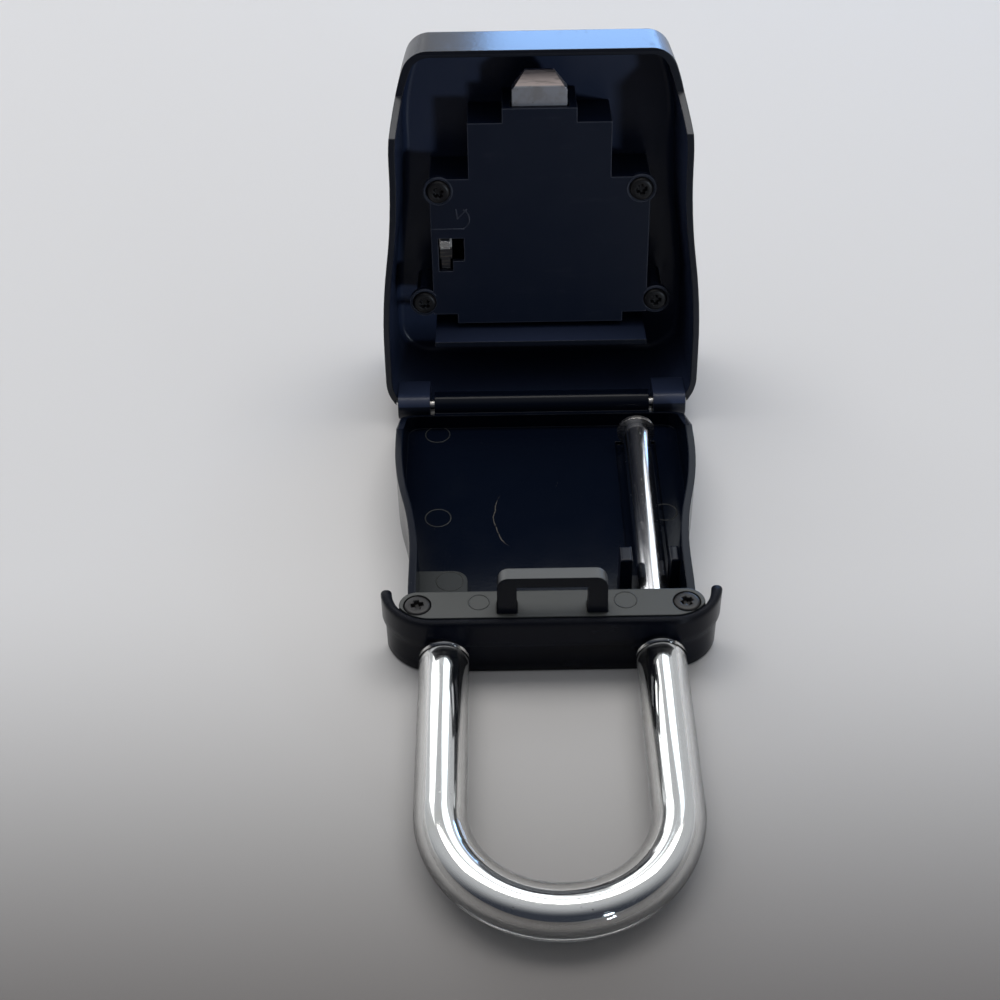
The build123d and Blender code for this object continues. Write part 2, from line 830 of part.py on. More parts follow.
def cover_outline(inset):
    """The cover's stepped outline: a tab for the bolt, two shoulders and a narrower foot."""
    steps = (
        (cover_tab_half, cover_start, cover_tab_end),
        (cover_mid_half, cover_start, cover_mid_end),
        (cover_wide_half, cover_wide_start, cover_wide_end),
        (cover_foot_half, cover_start, lower_screw_from_hinge),
    )
    outline = Sketch()
    for half, start, end in steps:
        low = from_hinge(end) + inset
        high = from_hinge(start) - inset
        outline += Pos(0, (low + high) / 2) * Rectangle(2 * (half - inset), high - low)
    return outline


def cover_ears():
    """Round ears of the cover under each screw head."""
    return Part() + [
        rod_z(x, y, cover_z, cover_under_z, cover_ear_radius) for x, y in cover_screws_at()
    ]


def lever_window():
    """The L-shaped window in the cover: the reset lever stands through it and shows its tail."""
    window = block(
        lever_window_from_x, lever_window_to_x,
        from_hinge(lever_window_end), from_hinge(lever_window_start),
        cover_z - 1, cover_under_z + 0.01,
    )
    start = from_hinge(lever_window_start)
    tail = block(
        lever_window_from_x, lever_left + lever_width + lever_edge_gap,
        start - 1, start + lever_tail_length + lever_edge_gap,
        cover_z - 1, cover_under_z + 0.01,
    )
    return window + tail


def mechanism_cover():
    """The stepped cover over the dials and the bolt, with skirts, ears and the lever's window."""
    skirt_depth = face_inner_z - cover_floor_gap - cover_z
    box = Pos(0, 0, cover_z) * extrude(cover_outline(0), amount=skirt_depth)
    hollow = Pos(0, 0, cover_under_z) * extrude(cover_outline(cover_skirt), amount=skirt_depth)
    cover = box - hollow + cover_ears()
    places = cover_screws_at()
    room_radius = screw_post_radius + post_gap
    post_room = [rod_z(x, y, cover_under_z, face_inner_z + 1, room_radius) for x, y in places]
    mouth = block(
        -bolt_half - bolt_rest_gap, bolt_half + bolt_rest_gap,
        from_hinge(cover_tab_end) - 1, from_hinge(cover_mid_end),
        cover_under_z, bolt_over_z + bolt_rest_gap,
    )
    head_top = cover_z - cover_screw_proud
    cover = cover - (Part() + post_room) - mouth
    cover -= screw_pockets(places, head_top, 1)
    cover -= screw_shanks(places, head_top, 1, screw_hole_gap)
    return cover - lever_window()


def cover_screws():
    """The four screws of the mechanism cover."""
    top = cover_z - cover_screw_proud
    return Compound(children=[screw(x, y, top, 1) for x, y in cover_screws_at()])


# Latch

def latch_bolt():
    """The steel bolt with its bevelled nose, carriage and the fence that meets the dials."""
    root_y = from_hinge(bolt_root)
    nose = [
        (-bolt_tip_half, bolt_tip_y),
        (bolt_tip_half, bolt_tip_y),
        (bolt_half, bolt_tip_y + bolt_tip_chamfer),
        (bolt_half, root_y),
        (-bolt_half, root_y),
        (-bolt_half, bolt_tip_y + bolt_tip_chamfer),
    ]
    tongue = Pos(0, 0, bolt_under_z) * extrude(Polygon(*nose, align=None), amount=bolt_thickness)
    bevel = side_prism(
        [
            (bolt_tip_y - 1, bolt_under_z - 1),
            (bolt_tip_y + bolt_bevel, bolt_under_z - 1),
            (bolt_tip_y + bolt_bevel, bolt_under_z),
            (bolt_tip_y, bolt_over_z - bolt_nose_land),
            (bolt_tip_y - 1, bolt_over_z - bolt_nose_land),
        ],
        bolt_half + 1,
    )
    fence_y = dial_y - dial_radius - fence_dial_gap - fence_thickness
    carriage = block(
        -carriage_half, carriage_half, from_hinge(carriage_front), fence_y + fence_thickness,
        bolt_under_z, bolt_under_z + carriage_thickness,
    )
    fence = block(
        -fence_half, fence_half, fence_y - fence_thickness, fence_y, bolt_under_z, hinge_height + fence_depth
    )
    teeth = [
        block(x - fence_tooth_half, x + fence_tooth_half, fence_y, fence_y + fence_thickness,
              dial_z - cam_radius, dial_z + cam_radius)
        for x in dial_places()
    ]
    hole = rod_z(0, stem_y(), bolt_under_z - 1, bolt_over_z + 1, button_screw_radius + hinge_press_gap)
    return tongue - bevel + carriage + fence + teeth - hole


def stem_y():
    """The Y of the middle of the slide's stem."""
    return from_hinge(stem_front - stem_length / 2)


def open_slide():
    """The slide on the lid's face whose stem carries the bolt."""
    stem = block(
        -stem_half, stem_half, from_hinge(stem_front), from_hinge(stem_front - stem_length),
        bolt_over_z, face_z + button_face_gap,
    )
    low = face_z + button_face_gap
    grip = block(
        -button_half, button_half, stem_y() - button_length / 2, stem_y() + button_length / 2,
        low, low + button_thickness,
    )
    grip = fillet(grip.edges().group_by(Axis.Z)[-1], button_round)
    hole = rod_z(0, stem_y(), bolt_over_z - 1, bolt_over_z + button_screw_length, button_screw_radius)
    return stem + grip - hole


def slide_screw():
    """The small headless screw that joins the bolt to the slide's stem."""
    low = bolt_under_z + bolt_cover_gap
    high = bolt_over_z + button_screw_length - bolt_cover_gap
    return rod_z(0, stem_y(), low, high, button_screw_radius - hinge_press_gap)


# Dials

def dial(x):
    """One number wheel with ten grip notches between its digits."""
    wheel = rod_x(x - dial_width / 2, x + dial_width / 2, dial_y, dial_z, dial_radius)
    wheel = chamfer(wheel.edges().filter_by(GeomType.CIRCLE), dial_edge_break)
    step = 360 / dial_digits
    for index in range(dial_digits):
        angle = radians(step * (index + 0.5))
        notch_y = dial_y + dial_radius * sin(angle)
        notch_z = dial_z + dial_radius * cos(angle)
        wheel -= rod_x(x - dial_width, x + dial_width, notch_y, notch_z, dial_grip_radius)
    return wheel - rod_x(x - dial_width, x + dial_width, dial_y, dial_z, cam_radius + cam_running_gap)


def cam(x):
    """The notched sleeve inside a dial that holds its share of the code."""
    left = x - dial_width / 2
    right = x + dial_width / 2
    sleeve = rod_x(left, right + cam_overhang, dial_y, dial_z, cam_radius)
    flange_left = right + cam_running_gap
    flange = rod_x(flange_left, flange_left + cam_flange_width, dial_y, dial_z, cam_flange_radius)
    notch_floor = dial_y - cam_flange_radius + cam_notch_depth
    notch = block(
        flange_left, right + cam_overhang + 1, dial_y - big, notch_floor,
        dial_z - cam_notch_half, dial_z + cam_notch_half,
    )
    bore = rod_x(left - 1, right + 2 * cam_overhang, dial_y, dial_z, axle_radius + axle_running_gap)
    return sleeve + flange - notch - bore


def dial_axle():
    """The steel axle that the four dials turn on."""
    return rod_x(-axle_half, axle_half, dial_y, dial_z, axle_radius)


def comb_top_z():
    """The height of the detent comb's face towards the dials, lid closed."""
    return dial_z - dial_radius - comb_dial_gap


def detent_comb():
    """The leaf spring with one finger under each dial."""
    top = comb_top_z()
    low = top - comb_thickness
    half = dial_pitch * dial_count / 2
    base_low = from_hinge(comb_base_to)
    base_high = from_hinge(comb_base_from)
    comb = block(-half, half, base_low, base_high, low, top)
    for x in dial_places():
        comb += block(x - comb_finger_half, x + comb_finger_half, dial_y - axle_radius, base_low, low, top)
    y = (base_low + base_high) / 2
    for side in (-1, 1):
        comb -= rod_z(side * comb_peg_half, y, low - 1, top + 1, comb_peg_radius + comb_peg_gap)
    return comb


# Reset lever and shutter

def reset_lever():
    """The bent steel lever that frees the code, standing through the cover's window."""
    low_y = from_hinge(lever_window_end) + lever_edge_gap
    high_y = from_hinge(lever_window_start)
    low_z = cover_under_z + lever_base_gap
    high_z = low_z + lever_thickness
    tab_left = lever_left + (lever_width - lever_tab_width) / 2
    tab_right = tab_left + lever_tab_width
    base = block(lever_left, lever_left + lever_width, low_y, high_y, low_z, high_z)
    tab = block(tab_left, tab_right, low_y, low_y + lever_tab_length, cover_z - lever_proud, high_z)
    tail = block(tab_left, tab_right, high_y, high_y + lever_tail_length, low_z, high_z)
    return base + tab + tail


def tongue_z():
    """The height of the shutter's underside, lid closed."""
    return face_z + dial_proud + shutter_dial_gap


def shutter():
    """The sliding shutter over the dials, with side tongues and a ribbed thumb grip."""
    low = tongue_z()
    y_low = from_hinge(shutter_start + shutter_length)
    y_high = from_hinge(shutter_start)
    plate = block(-shutter_half, shutter_half, y_low, y_high, low, low + shutter_tongue)
    crown = block(-shutter_crown_half, shutter_crown_half, y_low, y_high, low, low + shutter_thickness)
    crown = fillet(crown.edges().group_by(Axis.Z)[-1], shutter_round)
    solid = plate + crown
    for index in range(shutter_ribs):
        y = y_high - (index + 2) * shutter_rib_pitch
        solid += block(
            -shutter_crown_half / 2, shutter_crown_half / 2, y - shutter_rib_height, y + shutter_rib_height,
            low, low + shutter_thickness + shutter_rib_height,
        )
    return solid


def opened(shape):
    """A piece of the closed lid, turned about the hinge into the open lid's place."""
    hinge_axis = Axis((0, hinge_y, hinge_height), (1, 0, 0))
    return shape.rotate(hinge_axis, -lid_open_angle)


def all_parts():
    """Every piece by name, in the open pose."""
    parts = {
        "body_shell": body_shell(),
        "bumper_collar": bumper_collar(),
        "retainer_plate": retainer_plate(),
        "retainer_screws": retainer_screws(),
        "catch_loop": catch_loop(),
        "shackle_guide": shackle_guide(),
        "hinge_pin": hinge_pin(),
        "shackle": shackle(),
        "shackle_sleeve": shackle_sleeve(),
        "retaining_ring": retaining_ring(),
    }
    lid_parts = {
        "lid_shell": lid_shell(),
        "mechanism_cover": mechanism_cover(),
        "cover_screws": cover_screws(),
        "dial_axle": dial_axle(),
        "detent_comb": detent_comb(),
        "latch_bolt": latch_bolt(),
        "open_slide": open_slide(),
        "slide_screw": slide_screw(),
        "reset_lever": reset_lever(),
        "shutter": shutter(),
    }
    for number, x in enumerate(dial_places(), start=1):
        lid_parts[f"dial_{number}"] = dial(x)
        lid_parts[f"cam_{number}"] = cam(x)
    for name, shape in lid_parts.items():
        parts[name] = opened(shape)
    return parts


os.makedirs("parts", exist_ok=True)
for part_name, part_shape in all_parts().items():
    export_step(part_shape, f"parts/{part_name}.step")
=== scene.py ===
"""Looks of the shackle key safe: finishes, screws, shackle, sleeve, raised marks and dial figures.

Every length is in metres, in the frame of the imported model. The lid's own pieces are drawn as if the
lid were closed, and LidPlace turns them into the open lid.
"""
import logging
from contextlib import contextmanager
from dataclasses import dataclass, field
from enum import Enum
from math import atan2, cos, hypot, pi, radians, sin
from typing import Callable, Iterator, Sequence

import bmesh
import bpy
from mathutils import Matrix, Vector


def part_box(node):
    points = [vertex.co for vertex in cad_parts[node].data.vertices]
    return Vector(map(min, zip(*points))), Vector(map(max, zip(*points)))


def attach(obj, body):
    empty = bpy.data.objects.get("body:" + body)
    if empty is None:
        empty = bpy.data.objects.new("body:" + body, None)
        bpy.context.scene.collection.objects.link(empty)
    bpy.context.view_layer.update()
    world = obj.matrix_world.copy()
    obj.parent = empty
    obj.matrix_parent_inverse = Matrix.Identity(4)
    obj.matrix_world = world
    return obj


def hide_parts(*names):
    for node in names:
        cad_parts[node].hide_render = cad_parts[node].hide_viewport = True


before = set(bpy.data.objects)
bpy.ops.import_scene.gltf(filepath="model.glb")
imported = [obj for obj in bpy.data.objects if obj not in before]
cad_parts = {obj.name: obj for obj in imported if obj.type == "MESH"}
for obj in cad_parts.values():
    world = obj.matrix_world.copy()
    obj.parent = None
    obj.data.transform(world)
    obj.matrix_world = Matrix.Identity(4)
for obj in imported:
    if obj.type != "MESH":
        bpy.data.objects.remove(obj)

LOG = logging.getLogger("key_safe")
MM = 0.001
Colour = tuple[float, float, float]
Band = tuple[float, float]


class Pick(Enum):
    """What a selection in edit mode is made of."""

    FACES = "FACE"
    EDGES = "EDGE"


# Material nodes

class Wire:
    """A value on its way between two nodes of a material, which Python's operators combine."""

    def __init__(self, bench: "Bench", socket: bpy.types.NodeSocket) -> None:
        """Args:
            bench: The material's bench, which adds the maths nodes.
            socket: The output that holds the value.
        """
        self.bench = bench
        self.socket = socket

    def maths(self, operation: str, first: object, second: object) -> "Wire":
        """One maths node.

        Args:
            operation: The node's operation.
            first: A wire or a number.
            second: A wire or a number.

        Returns:
            The node's result.
        """
        return self.bench.node("ShaderNodeMath", {"operation": operation}, {0: first, 1: second})

    def __add__(self, other: object) -> "Wire":
        """This value plus another."""
        return self.maths("ADD", self, other)

    def __radd__(self, other: object) -> "Wire":
        """Another value plus this one."""
        return self.maths("ADD", other, self)

    def __sub__(self, other: object) -> "Wire":
        """This value less another."""
        return self.maths("SUBTRACT", self, other)

    def __rsub__(self, other: object) -> "Wire":
        """Another value less this one."""
        return self.maths("SUBTRACT", other, self)

    def __mul__(self, other: object) -> "Wire":
        """This value times another."""
        return self.maths("MULTIPLY", self, other)

    def __rmul__(self, other: object) -> "Wire":
        """Another value times this one."""
        return self.maths("MULTIPLY", other, self)

    def __truediv__(self, other: object) -> "Wire":
        """This value over another."""
        return self.maths("DIVIDE", self, other)

    def __rtruediv__(self, other: object) -> "Wire":
        """Another value over this one."""
        return self.maths("DIVIDE", other, self)

    def __pow__(self, other: object) -> "Wire":
        """This value to a power."""
        return self.maths("POWER", self, other)

    def above(self, low: float, high: float) -> "Wire":
        """A soft step.

        Args:
            low: The value at which the step starts.
            high: The value at which the step is complete.

        Returns:
            0 below the step and 1 above it.
        """
        settings = {"interpolation_type": "SMOOTHSTEP"}
        return self.bench.node("ShaderNodeMapRange", settings, {0: self, 1: low, 2: high})


class Bench:
    """The nodes of one material, or of the surround, with one surface shader."""

    def __init__(self, name: str, surround: bool = False) -> None:
        """Args:
            name: The name of the material or surround.
            surround: Whether it is the surround.
        """
        self.made = (bpy.data.worlds if surround else bpy.data.materials).new(name)
        self.made.use_nodes = True
        self.tree = self.made.node_tree
        self.tree.nodes.clear()
        self.end = self.tree.nodes.new("ShaderNodeOutputWorld" if surround else "ShaderNodeOutputMaterial")

    def node(
        self,
        kind: str,
        settings: dict[str, object] | None = None,
        inputs: dict[int | str, object] | None = None,
        output: int | str = 0,
    ) -> Wire:
        """Adds one node.

        Args:
            kind: The node's type.
            settings: Its settings, which are set first.
            inputs: Values or wires for its sockets.
            output: The output that is handed back.

        Returns:
            The wire from that output.
        """
        made = self.tree.nodes.new(kind)
        for key, value in (settings or {}).items():
            setattr(made, key, value)
        for key, value in (inputs or {}).items():
            if isinstance(value, Wire):
                self.tree.links.new(value.socket, made.inputs[key])
            else:
                made.inputs[key].default_value = value
        return Wire(self, made.outputs[output])

    def place(self) -> Wire:
        """The point on the piece, in its own coordinates."""
        return self.node("ShaderNodeTexCoord", output="Object")

    def facing(self) -> Wire:
        """The surface's direction in the piece's own coordinates."""
        return self.node("ShaderNodeTexCoord", output="Normal")

    def vectors(self, operation: str, first: object, second: object, output: int | str = 0) -> Wire:
        """One Vector Math node, as its result or, as Value, its number."""
        return self.node("ShaderNodeVectorMath", {"operation": operation}, {0: first, 1: second}, output)

    def facing_up(self) -> Wire:
        """How far the surface faces up: 1 on a level top, 0 on an upright wall."""
        return self.axes(self.facing())[2]

    def facing_away(self, middle: tuple[float, float, float]) -> Wire:
        """The distance from a middle to the surface's plane: under 0 on a shell's inner side."""
        arm = self.vectors("SUBTRACT", self.place(), middle)
        return self.vectors("DOT_PRODUCT", arm, self.facing(), "Value")

    def axes(self, at: Wire | None = None) -> tuple[Wire, Wire, Wire]:
        """The point on the piece, or any other vector, as three numbers.

        Args:
            at: The vector, or nothing for the point.

        Returns:
            Its X, Y and Z.
        """
        split = self.node("ShaderNodeSeparateXYZ", {}, {0: at or self.place()})
        outputs = split.socket.node.outputs
        return Wire(self, outputs[0]), Wire(self, outputs[1]), Wire(self, outputs[2])

    def stretched(self, scale: tuple[float, float, float]) -> Wire:
        """The point on the piece, with each axis drawn out."""
        return self.node("ShaderNodeMapping", {}, {"Vector": self.place(), "Scale": scale})

    def noise(self, size: float, detail: float = 2, at: Wire | None = None) -> Wire:
        """Cloudy noise.

        Args:
            size: The size of one cloud in metres.
            detail: How many finer layers it has.
            at: The point that it reads.

        Returns:
            Values from about 0 to 1.
        """
        where = at or self.place()
        return self.node("ShaderNodeTexNoise", {}, {"Vector": where, "Scale": 1 / size, "Detail": detail})

    def cells(self, size: float) -> Wire:
        """The distance to the nearest of a field of scattered points, each about a size apart."""
        return self.node("ShaderNodeTexVoronoi", {}, {"Vector": self.place(), "Scale": 1 / size})

    def mix(self, share: object, first: object, second: object) -> Wire:
        """Two colours mixed.

        Args:
            share: How much of the second colour shows.
            first: A colour or a wire.
            second: A colour or a wire.

        Returns:
            The mixed colour.
        """
        sockets = {0: share, 6: self.opaque(first), 7: self.opaque(second)}
        return self.node("ShaderNodeMix", {"data_type": "RGBA"}, sockets, 2)

    @staticmethod
    def opaque(colour: object) -> object:
        """A plain colour with its alpha, or the wire as it is."""
        return colour if isinstance(colour, Wire) else (*colour, 1)

    def soft_edge(self, radius: float) -> Wire:
        """The surface's normal with its edges rounded over a radius."""
        return self.node("ShaderNodeBevel", {"samples": 6}, {"Radius": radius})

    def edge(self, rounded: Wire) -> Wire:
        """How much a rounded normal leaves the true one: 0 on flats, rising at edges."""
        true = self.node("ShaderNodeNewGeometry", output="Normal")
        return 1 - self.vectors("DOT_PRODUCT", rounded, true, "Value")

    def bump(self, height: Wire, depth: float, normal: Wire | None = None) -> Wire:
        """A bumped normal.

        Args:
            height: The height, from 0 to 1.
            depth: The real depth of 1 in metres.
            normal: The normal that it starts from.

        Returns:
            The new normal.
        """
        inputs: dict[int | str, object] = {"Height": height, "Distance": depth, "Strength": 1.0}
        if normal is not None:
            inputs["Normal"] = normal
        return self.node("ShaderNodeBump", {}, inputs)

    def surface(self, inputs: dict[int | str, object]) -> bpy.types.Material:
        """Ends the material with one surface shader.

        Args:
            inputs: Values or wires for the shader's sockets.

        Returns:
            The finished material.
        """
        return self.finish("ShaderNodeBsdfPrincipled", inputs)

    def coat(
        self, colour: Wire, roughness: Wire, specular: float, grain: tuple[float, float], rounded: Wire
    ) -> bpy.types.Material:
        """Ends the material as a coat of paint or a moulded skin.

        Args:
            colour: Its colour.
            roughness: Its roughness.
            specular: Its specular level.
            grain: The size and the depth of its fine grain.
            rounded: The normal with its edges rounded.

        Returns:
            The finished material.
        """
        size, depth = grain
        return self.surface({
            "Base Color": colour,
            "Roughness": roughness,
            "Specular IOR Level": specular,
            "Normal": self.bump(self.noise(size, 2), depth, rounded),
        })

    def finish(self, kind: str, inputs: dict[int | str, object]) -> bpy.types.ID:
        """Ends the nodes with a shader and hands back what they belong to.

        Args:
            kind: The shader's type.
            inputs: Values or wires for its sockets.

        Returns:
            The material or surround.
        """
        shader = self.node(kind, {}, inputs)
        self.tree.links.new(shader.socket, self.end.inputs["Surface"])
        return self.made


# The open lid

@dataclass(frozen=True)
class LidPlace:
    """Where the open lid is, and how a piece drawn on the closed lid gets there."""

    hinge_y: float = 44.45 * MM
    hinge_z: float = 5.0 * MM
    angle: float = radians(98.5)

    def turn(self) -> Matrix:
        """The turn from the closed lid to the open one."""
        hinge = Vector((0, self.hinge_y, self.hinge_z))
        return Matrix.Translation(hinge) @ Matrix.Rotation(-self.angle, 4, "X") @ Matrix.Translation(-hinge)

    def closed(self, x: float, reach: float, depth: float) -> Vector:
        """A place on the closed lid.

        Args:
            x: Across the lid.
            reach: The distance from the hinge towards the shackle.
            depth: The height over the rim.

        Returns:
            The point, lid closed.
        """
        return Vector((x, self.hinge_y - reach, self.hinge_z + depth))

    def reach(self, bench: Bench) -> Wire:
        """How far a point of the open lid is from the hinge, along the lid."""
        _, y, z = bench.axes()
        return (self.hinge_y - y) * cos(self.angle) + (z - self.hinge_z) * sin(self.angle)

    def open_piece(self, piece: bpy.types.Object) -> None:
        """Turns a finished piece's mesh from the closed lid to the open one."""
        piece.data.transform(self.turn())
        piece.data.update()


# Finishes

@dataclass(frozen=True)
class Finish:
    """A finish of the safe. Each kind says how it dresses a material."""

    name: str

    def dress(self, bench: Bench) -> bpy.types.Material:
        """Fills the bench's material and hands it back."""
        raise NotImplementedError

    def material(self) -> bpy.types.Material:
        """A new material with this finish."""
        return self.dress(Bench(self.name))


@dataclass(frozen=True)
class BlackPaint(Finish):
    """Semi-gloss black paint over a casting, with a fine orange peel, dust, and edges lightened in patches,
    partly as rubbed wear and partly as a painted edge highlight; faces that look up may also get a painted
    highlight.

    A band is the pair of values between which a pattern fades in.
    """

    colour: Colour = (0.004, 0.0062, 0.0145)
    # Colour of the lightened edges, partly rubbed wear and partly a painted edge highlight, and of the
    # lid's scuffs.
    rubbed: Colour = (0.03, 0.034, 0.044)
    dusty: Colour = (0.12, 0.12, 0.12)
    # Colour of a painted highlight on the faces that look up, or None for none.
    film: Colour | None = None
    film_band: Band = (0.45, 0.95)
    roughness: float = 0.3
    specular: float = 0.3
    peel: tuple[float, float] = (0.9 * MM, 0.012 * MM)
    edge_radius: float = 0.45 * MM
    edge_band: Band = (0.02, 0.28)
    cloud_size: float = 7 * MM
    rubbed_band: Band = (0.42, 0.62)
    rubbed_share: float = 0.7
    speck_size: float = 2.6 * MM
    speck_band: Band = (0.055, 0.03)
    speck_patch: float = 9 * MM
    speck_patch_band: Band = (0.5, 0.62)
    speck_share: float = 0.5

    def dress(self, bench: Bench) -> bpy.types.Material:
        """Fills the bench's material and hands it back.

        Args:
            bench: The material's bench.

        Returns:
            The finished material.
        """
        rounded = bench.soft_edge(self.edge_radius)
        cloud = bench.noise(self.cloud_size, 4)
        dust = self.dust(bench)
        colour = self.rub(bench, self.colour, cloud, rounded)
        colour = bench.mix(dust * 0.5, colour, self.dusty)
        # Painted highlight: the faces that look up are lightened, as if lit from above.
        if self.film:
            colour = bench.mix(bench.facing_up().above(*self.film_band), colour, self.film)
        roughness = self.roughness + 0.1 * (cloud - 0.5) + 0.16 * dust
        return bench.coat(colour, roughness, self.specular, self.peel, rounded)

    def rub(self, bench: Bench, colour: object, cloud: Wire, rounded: Wire) -> Wire:
        """The colour with its edges lightened in patches: partly rubbed wear, partly a painted edge
        highlight.

        Args:
            bench: The material's bench.
            colour: The colour to rub.
            cloud: The noise that makes the patches.
            rounded: The normal with its edges rounded.

        Returns:
            The rubbed colour.
        """
        # Edges lightened in patches: partly rubbed wear, partly a painted highlight where the edges catch
        # the light.
        worn = bench.edge(rounded).above(*self.edge_band) * cloud.above(*self.rubbed_band)
        return bench.mix(worn * self.rubbed_share, colour, self.rubbed)

    def dust(self, bench: Bench) -> Wire:
        """Where specks of dust lie."""
        specks = bench.cells(self.speck_size).above(*self.speck_band)
        return specks * bench.noise(self.speck_patch).above(*self.speck_patch_band) * self.speck_share


@dataclass(frozen=True)
class LidPaint(BlackPaint):
    """The lid's paint: darker outside and glossier on its shackle end, plainer inside and painted lighter
    there, a painted light standing in for the light that falls on the inner faces.
    """

    edge_band: Band = (0.02, 0.3)
    cloud_size: float = 8 * MM
    rubbed_band: Band = (0.4, 0.64)
    rubbed_share: float = 0.65
    outside_colour: Colour = (0.007, 0.0095, 0.018)
    lid: LidPlace = LidPlace()
    middle: tuple[float, float, float] = (0, 47 * MM, 15 * MM)
    end_from: float = 90.6 * MM
    end_fade: float = 0.4 * MM
    end_roughness: float = 0.17
    scuff_size: float = 2.5 * MM
    scuff_stretch: tuple[float, float, float] = (1, 0.25, 0.25)

    def dress(self, bench: Bench) -> bpy.types.Material:
        """Fills the bench's material and hands it back.

        Args:
            bench: The material's bench.

        Returns:
            The finished material.
        """
        rounded = bench.soft_edge(self.edge_radius)
        cloud = bench.noise(self.cloud_size, 4)
        scuff = bench.noise(self.scuff_size, 5, bench.stretched(self.scuff_stretch))
        end = self.lid.reach(bench).above(self.end_from, self.end_from + self.end_fade)
        middle = tuple(self.lid.turn() @ self.lid.closed(*self.middle))
        # Painted light: the inner faces take the lighter colour, as if lit; the outer faces take the darker
        # outside colour.
        outside = bench.facing_away(middle).above(0, 1 * MM)
        colour = self.rub(bench, bench.mix(outside, self.colour, self.outside_colour), cloud, rounded)
        colour = bench.mix(scuff.above(0.66, 0.78) * 0.25 * (1 - end), colour, self.rubbed)
        plain = self.roughness + 0.1 * (cloud - 0.5)
        roughness = plain * (1 - end) + self.end_roughness * end + 0.08 * scuff.above(0.6, 0.75)
        return bench.coat(colour, roughness, self.specular, self.peel, rounded)


@dataclass(frozen=True)
class TrayPaint(BlackPaint):
    """The tray's paint, with the long curved scratch on its floor and a duller pad."""

    edge_band: Band = (0.02, 0.3)
    cloud_size: float = 8 * MM
    speck_size: float = 3.1 * MM
    speck_band: Band = (0.05, 0.025)
    speck_patch: float = 11 * MM
    speck_patch_band: Band = (0.5, 0.6)
    floor_z: float = 2 * MM
    scratch_middle: tuple[float, float] = (5.0 * MM, 3.3 * MM)
    scratch_radius: float = 18.0 * MM
    scratch_from: float = -8.0 * MM
    scratch_to: float = 11.2 * MM
    scratch_width: float = 0.16 * MM
    scratch_wobble: float = 1.6 * MM
    scratch_colour: Colour = (0.13, 0.12, 0.1)
    pad_z: float = 4.2 * MM
    pad_corner: float = -12 * MM
    pad_colour: Colour = (0.034, 0.038, 0.04)

    def dress(self, bench: Bench) -> bpy.types.Material:
        """Fills the bench's material and hands it back.

        Args:
            bench: The material's bench.

        Returns:
            The finished material.
        """
        rounded = bench.soft_edge(self.edge_radius)
        cloud = bench.noise(self.cloud_size, 4)
        scratch, pad = self.scratch(bench), self.pad(bench)
        colour = self.rub(bench, self.colour, cloud, rounded)
        colour = bench.mix(scratch * 0.7, colour, self.scratch_colour)
        colour = bench.mix(self.dust(bench) * 0.5, colour, self.dusty)
        colour = bench.mix(pad, colour, self.pad_colour)
        roughness = self.roughness + 0.12 * (cloud - 0.5) + 0.2 * scratch + 0.3 * pad
        return bench.coat(colour, roughness, self.specular, self.peel, rounded)

    @staticmethod
    def level(z: Wire, height: float, spread: float) -> Wire:
        """Where a surface lies at a height, fading out to a spread on both sides."""
        over = z.above(height - spread, height - spread / 2)
        return over * z.above(height + spread, height + spread / 2)

    def scratch(self, bench: Bench) -> Wire:
        """Where the curved scratch runs over the tray's floor.

        Args:
            bench: The material's bench.

        Returns:
            1 along the scratch and 0 off it.
        """
        x, y, z = bench.axes()
        across = x - self.scratch_middle[0]
        along = y - self.scratch_middle[1]
        wobble = (bench.noise(4 * MM) - 0.5) * self.scratch_wobble
        radius = (across * across + along * along) ** 0.5
        off = (radius - self.scratch_radius + wobble) / self.scratch_width
        line = (off * off).above(1.0, 0.1) * across.above(0, -1 * MM)
        start = y.above(self.scratch_from, self.scratch_from + 3 * MM)
        end = y.above(self.scratch_to, self.scratch_to - 4 * MM)
        worn = self.level(z, self.floor_z, 0.4 * MM) * bench.noise(1.5 * MM).above(0.35, 0.5)
        return line * start * end * worn

    def pad(self, bench: Bench) -> Wire:
        """Where the pad in the front left corner is.

        Args:
            bench: The material's bench.

        Returns:
            1 on the pad and 0 off it.
        """
        x, y, z = bench.axes()
        corner = (self.pad_corner, self.pad_corner - 1 * MM)
        return self.level(z, self.pad_z, 0.2 * MM) * y.above(*corner) * x.above(*corner)


@dataclass(frozen=True)
class BlackMoulding(Finish):
    """Moulded black plastic with a fine grain, lightened edges and faint flow marks; the lightened edges
    are partly wear and partly a painted highlight.
    """

    colour: Colour = (0.0022, 0.0032, 0.0075)
    edge_colour: Colour = (0.018, 0.021, 0.028)
    edge_share: float = 0.8
    roughness: float = 0.4
    specular: float = 0.24
    grain: tuple[float, float] = (0.25 * MM, 0.01 * MM)
    edge_radius: float = 0.35 * MM
    worn_radius: float = 0.35 * MM
    worn_band: Band = (0.02, 0.3)
    cloud_size: float = 6 * MM
    flow_size: float = 3 * MM
    flow_stretch: tuple[float, float, float] = (0.3, 1, 1)
    flow_band: Band = (0.6, 0.8)
    flow_share: float = 0.3

    def dress(self, bench: Bench) -> bpy.types.Material:
        """Fills the bench's material and hands it back.

        Args:
            bench: The material's bench.

        Returns:
            The finished material.
        """
        rounded = bench.soft_edge(self.edge_radius)
        # Edge lightening: partly wear, partly a painted highlight along the edges.
        worn = bench.edge(bench.soft_edge(self.worn_radius)).above(*self.worn_band)
        flow = bench.noise(self.flow_size, 4, bench.stretched(self.flow_stretch)).above(*self.flow_band)
        colour = bench.mix(worn * self.edge_share, self.colour, self.edge_colour)
        colour = bench.mix(flow * self.flow_share, colour, self.edge_colour)
        roughness = self.roughness + 0.14 * (bench.noise(self.cloud_size, 3) - 0.5)
        return bench.coat(colour, roughness, self.specular, self.grain, rounded)


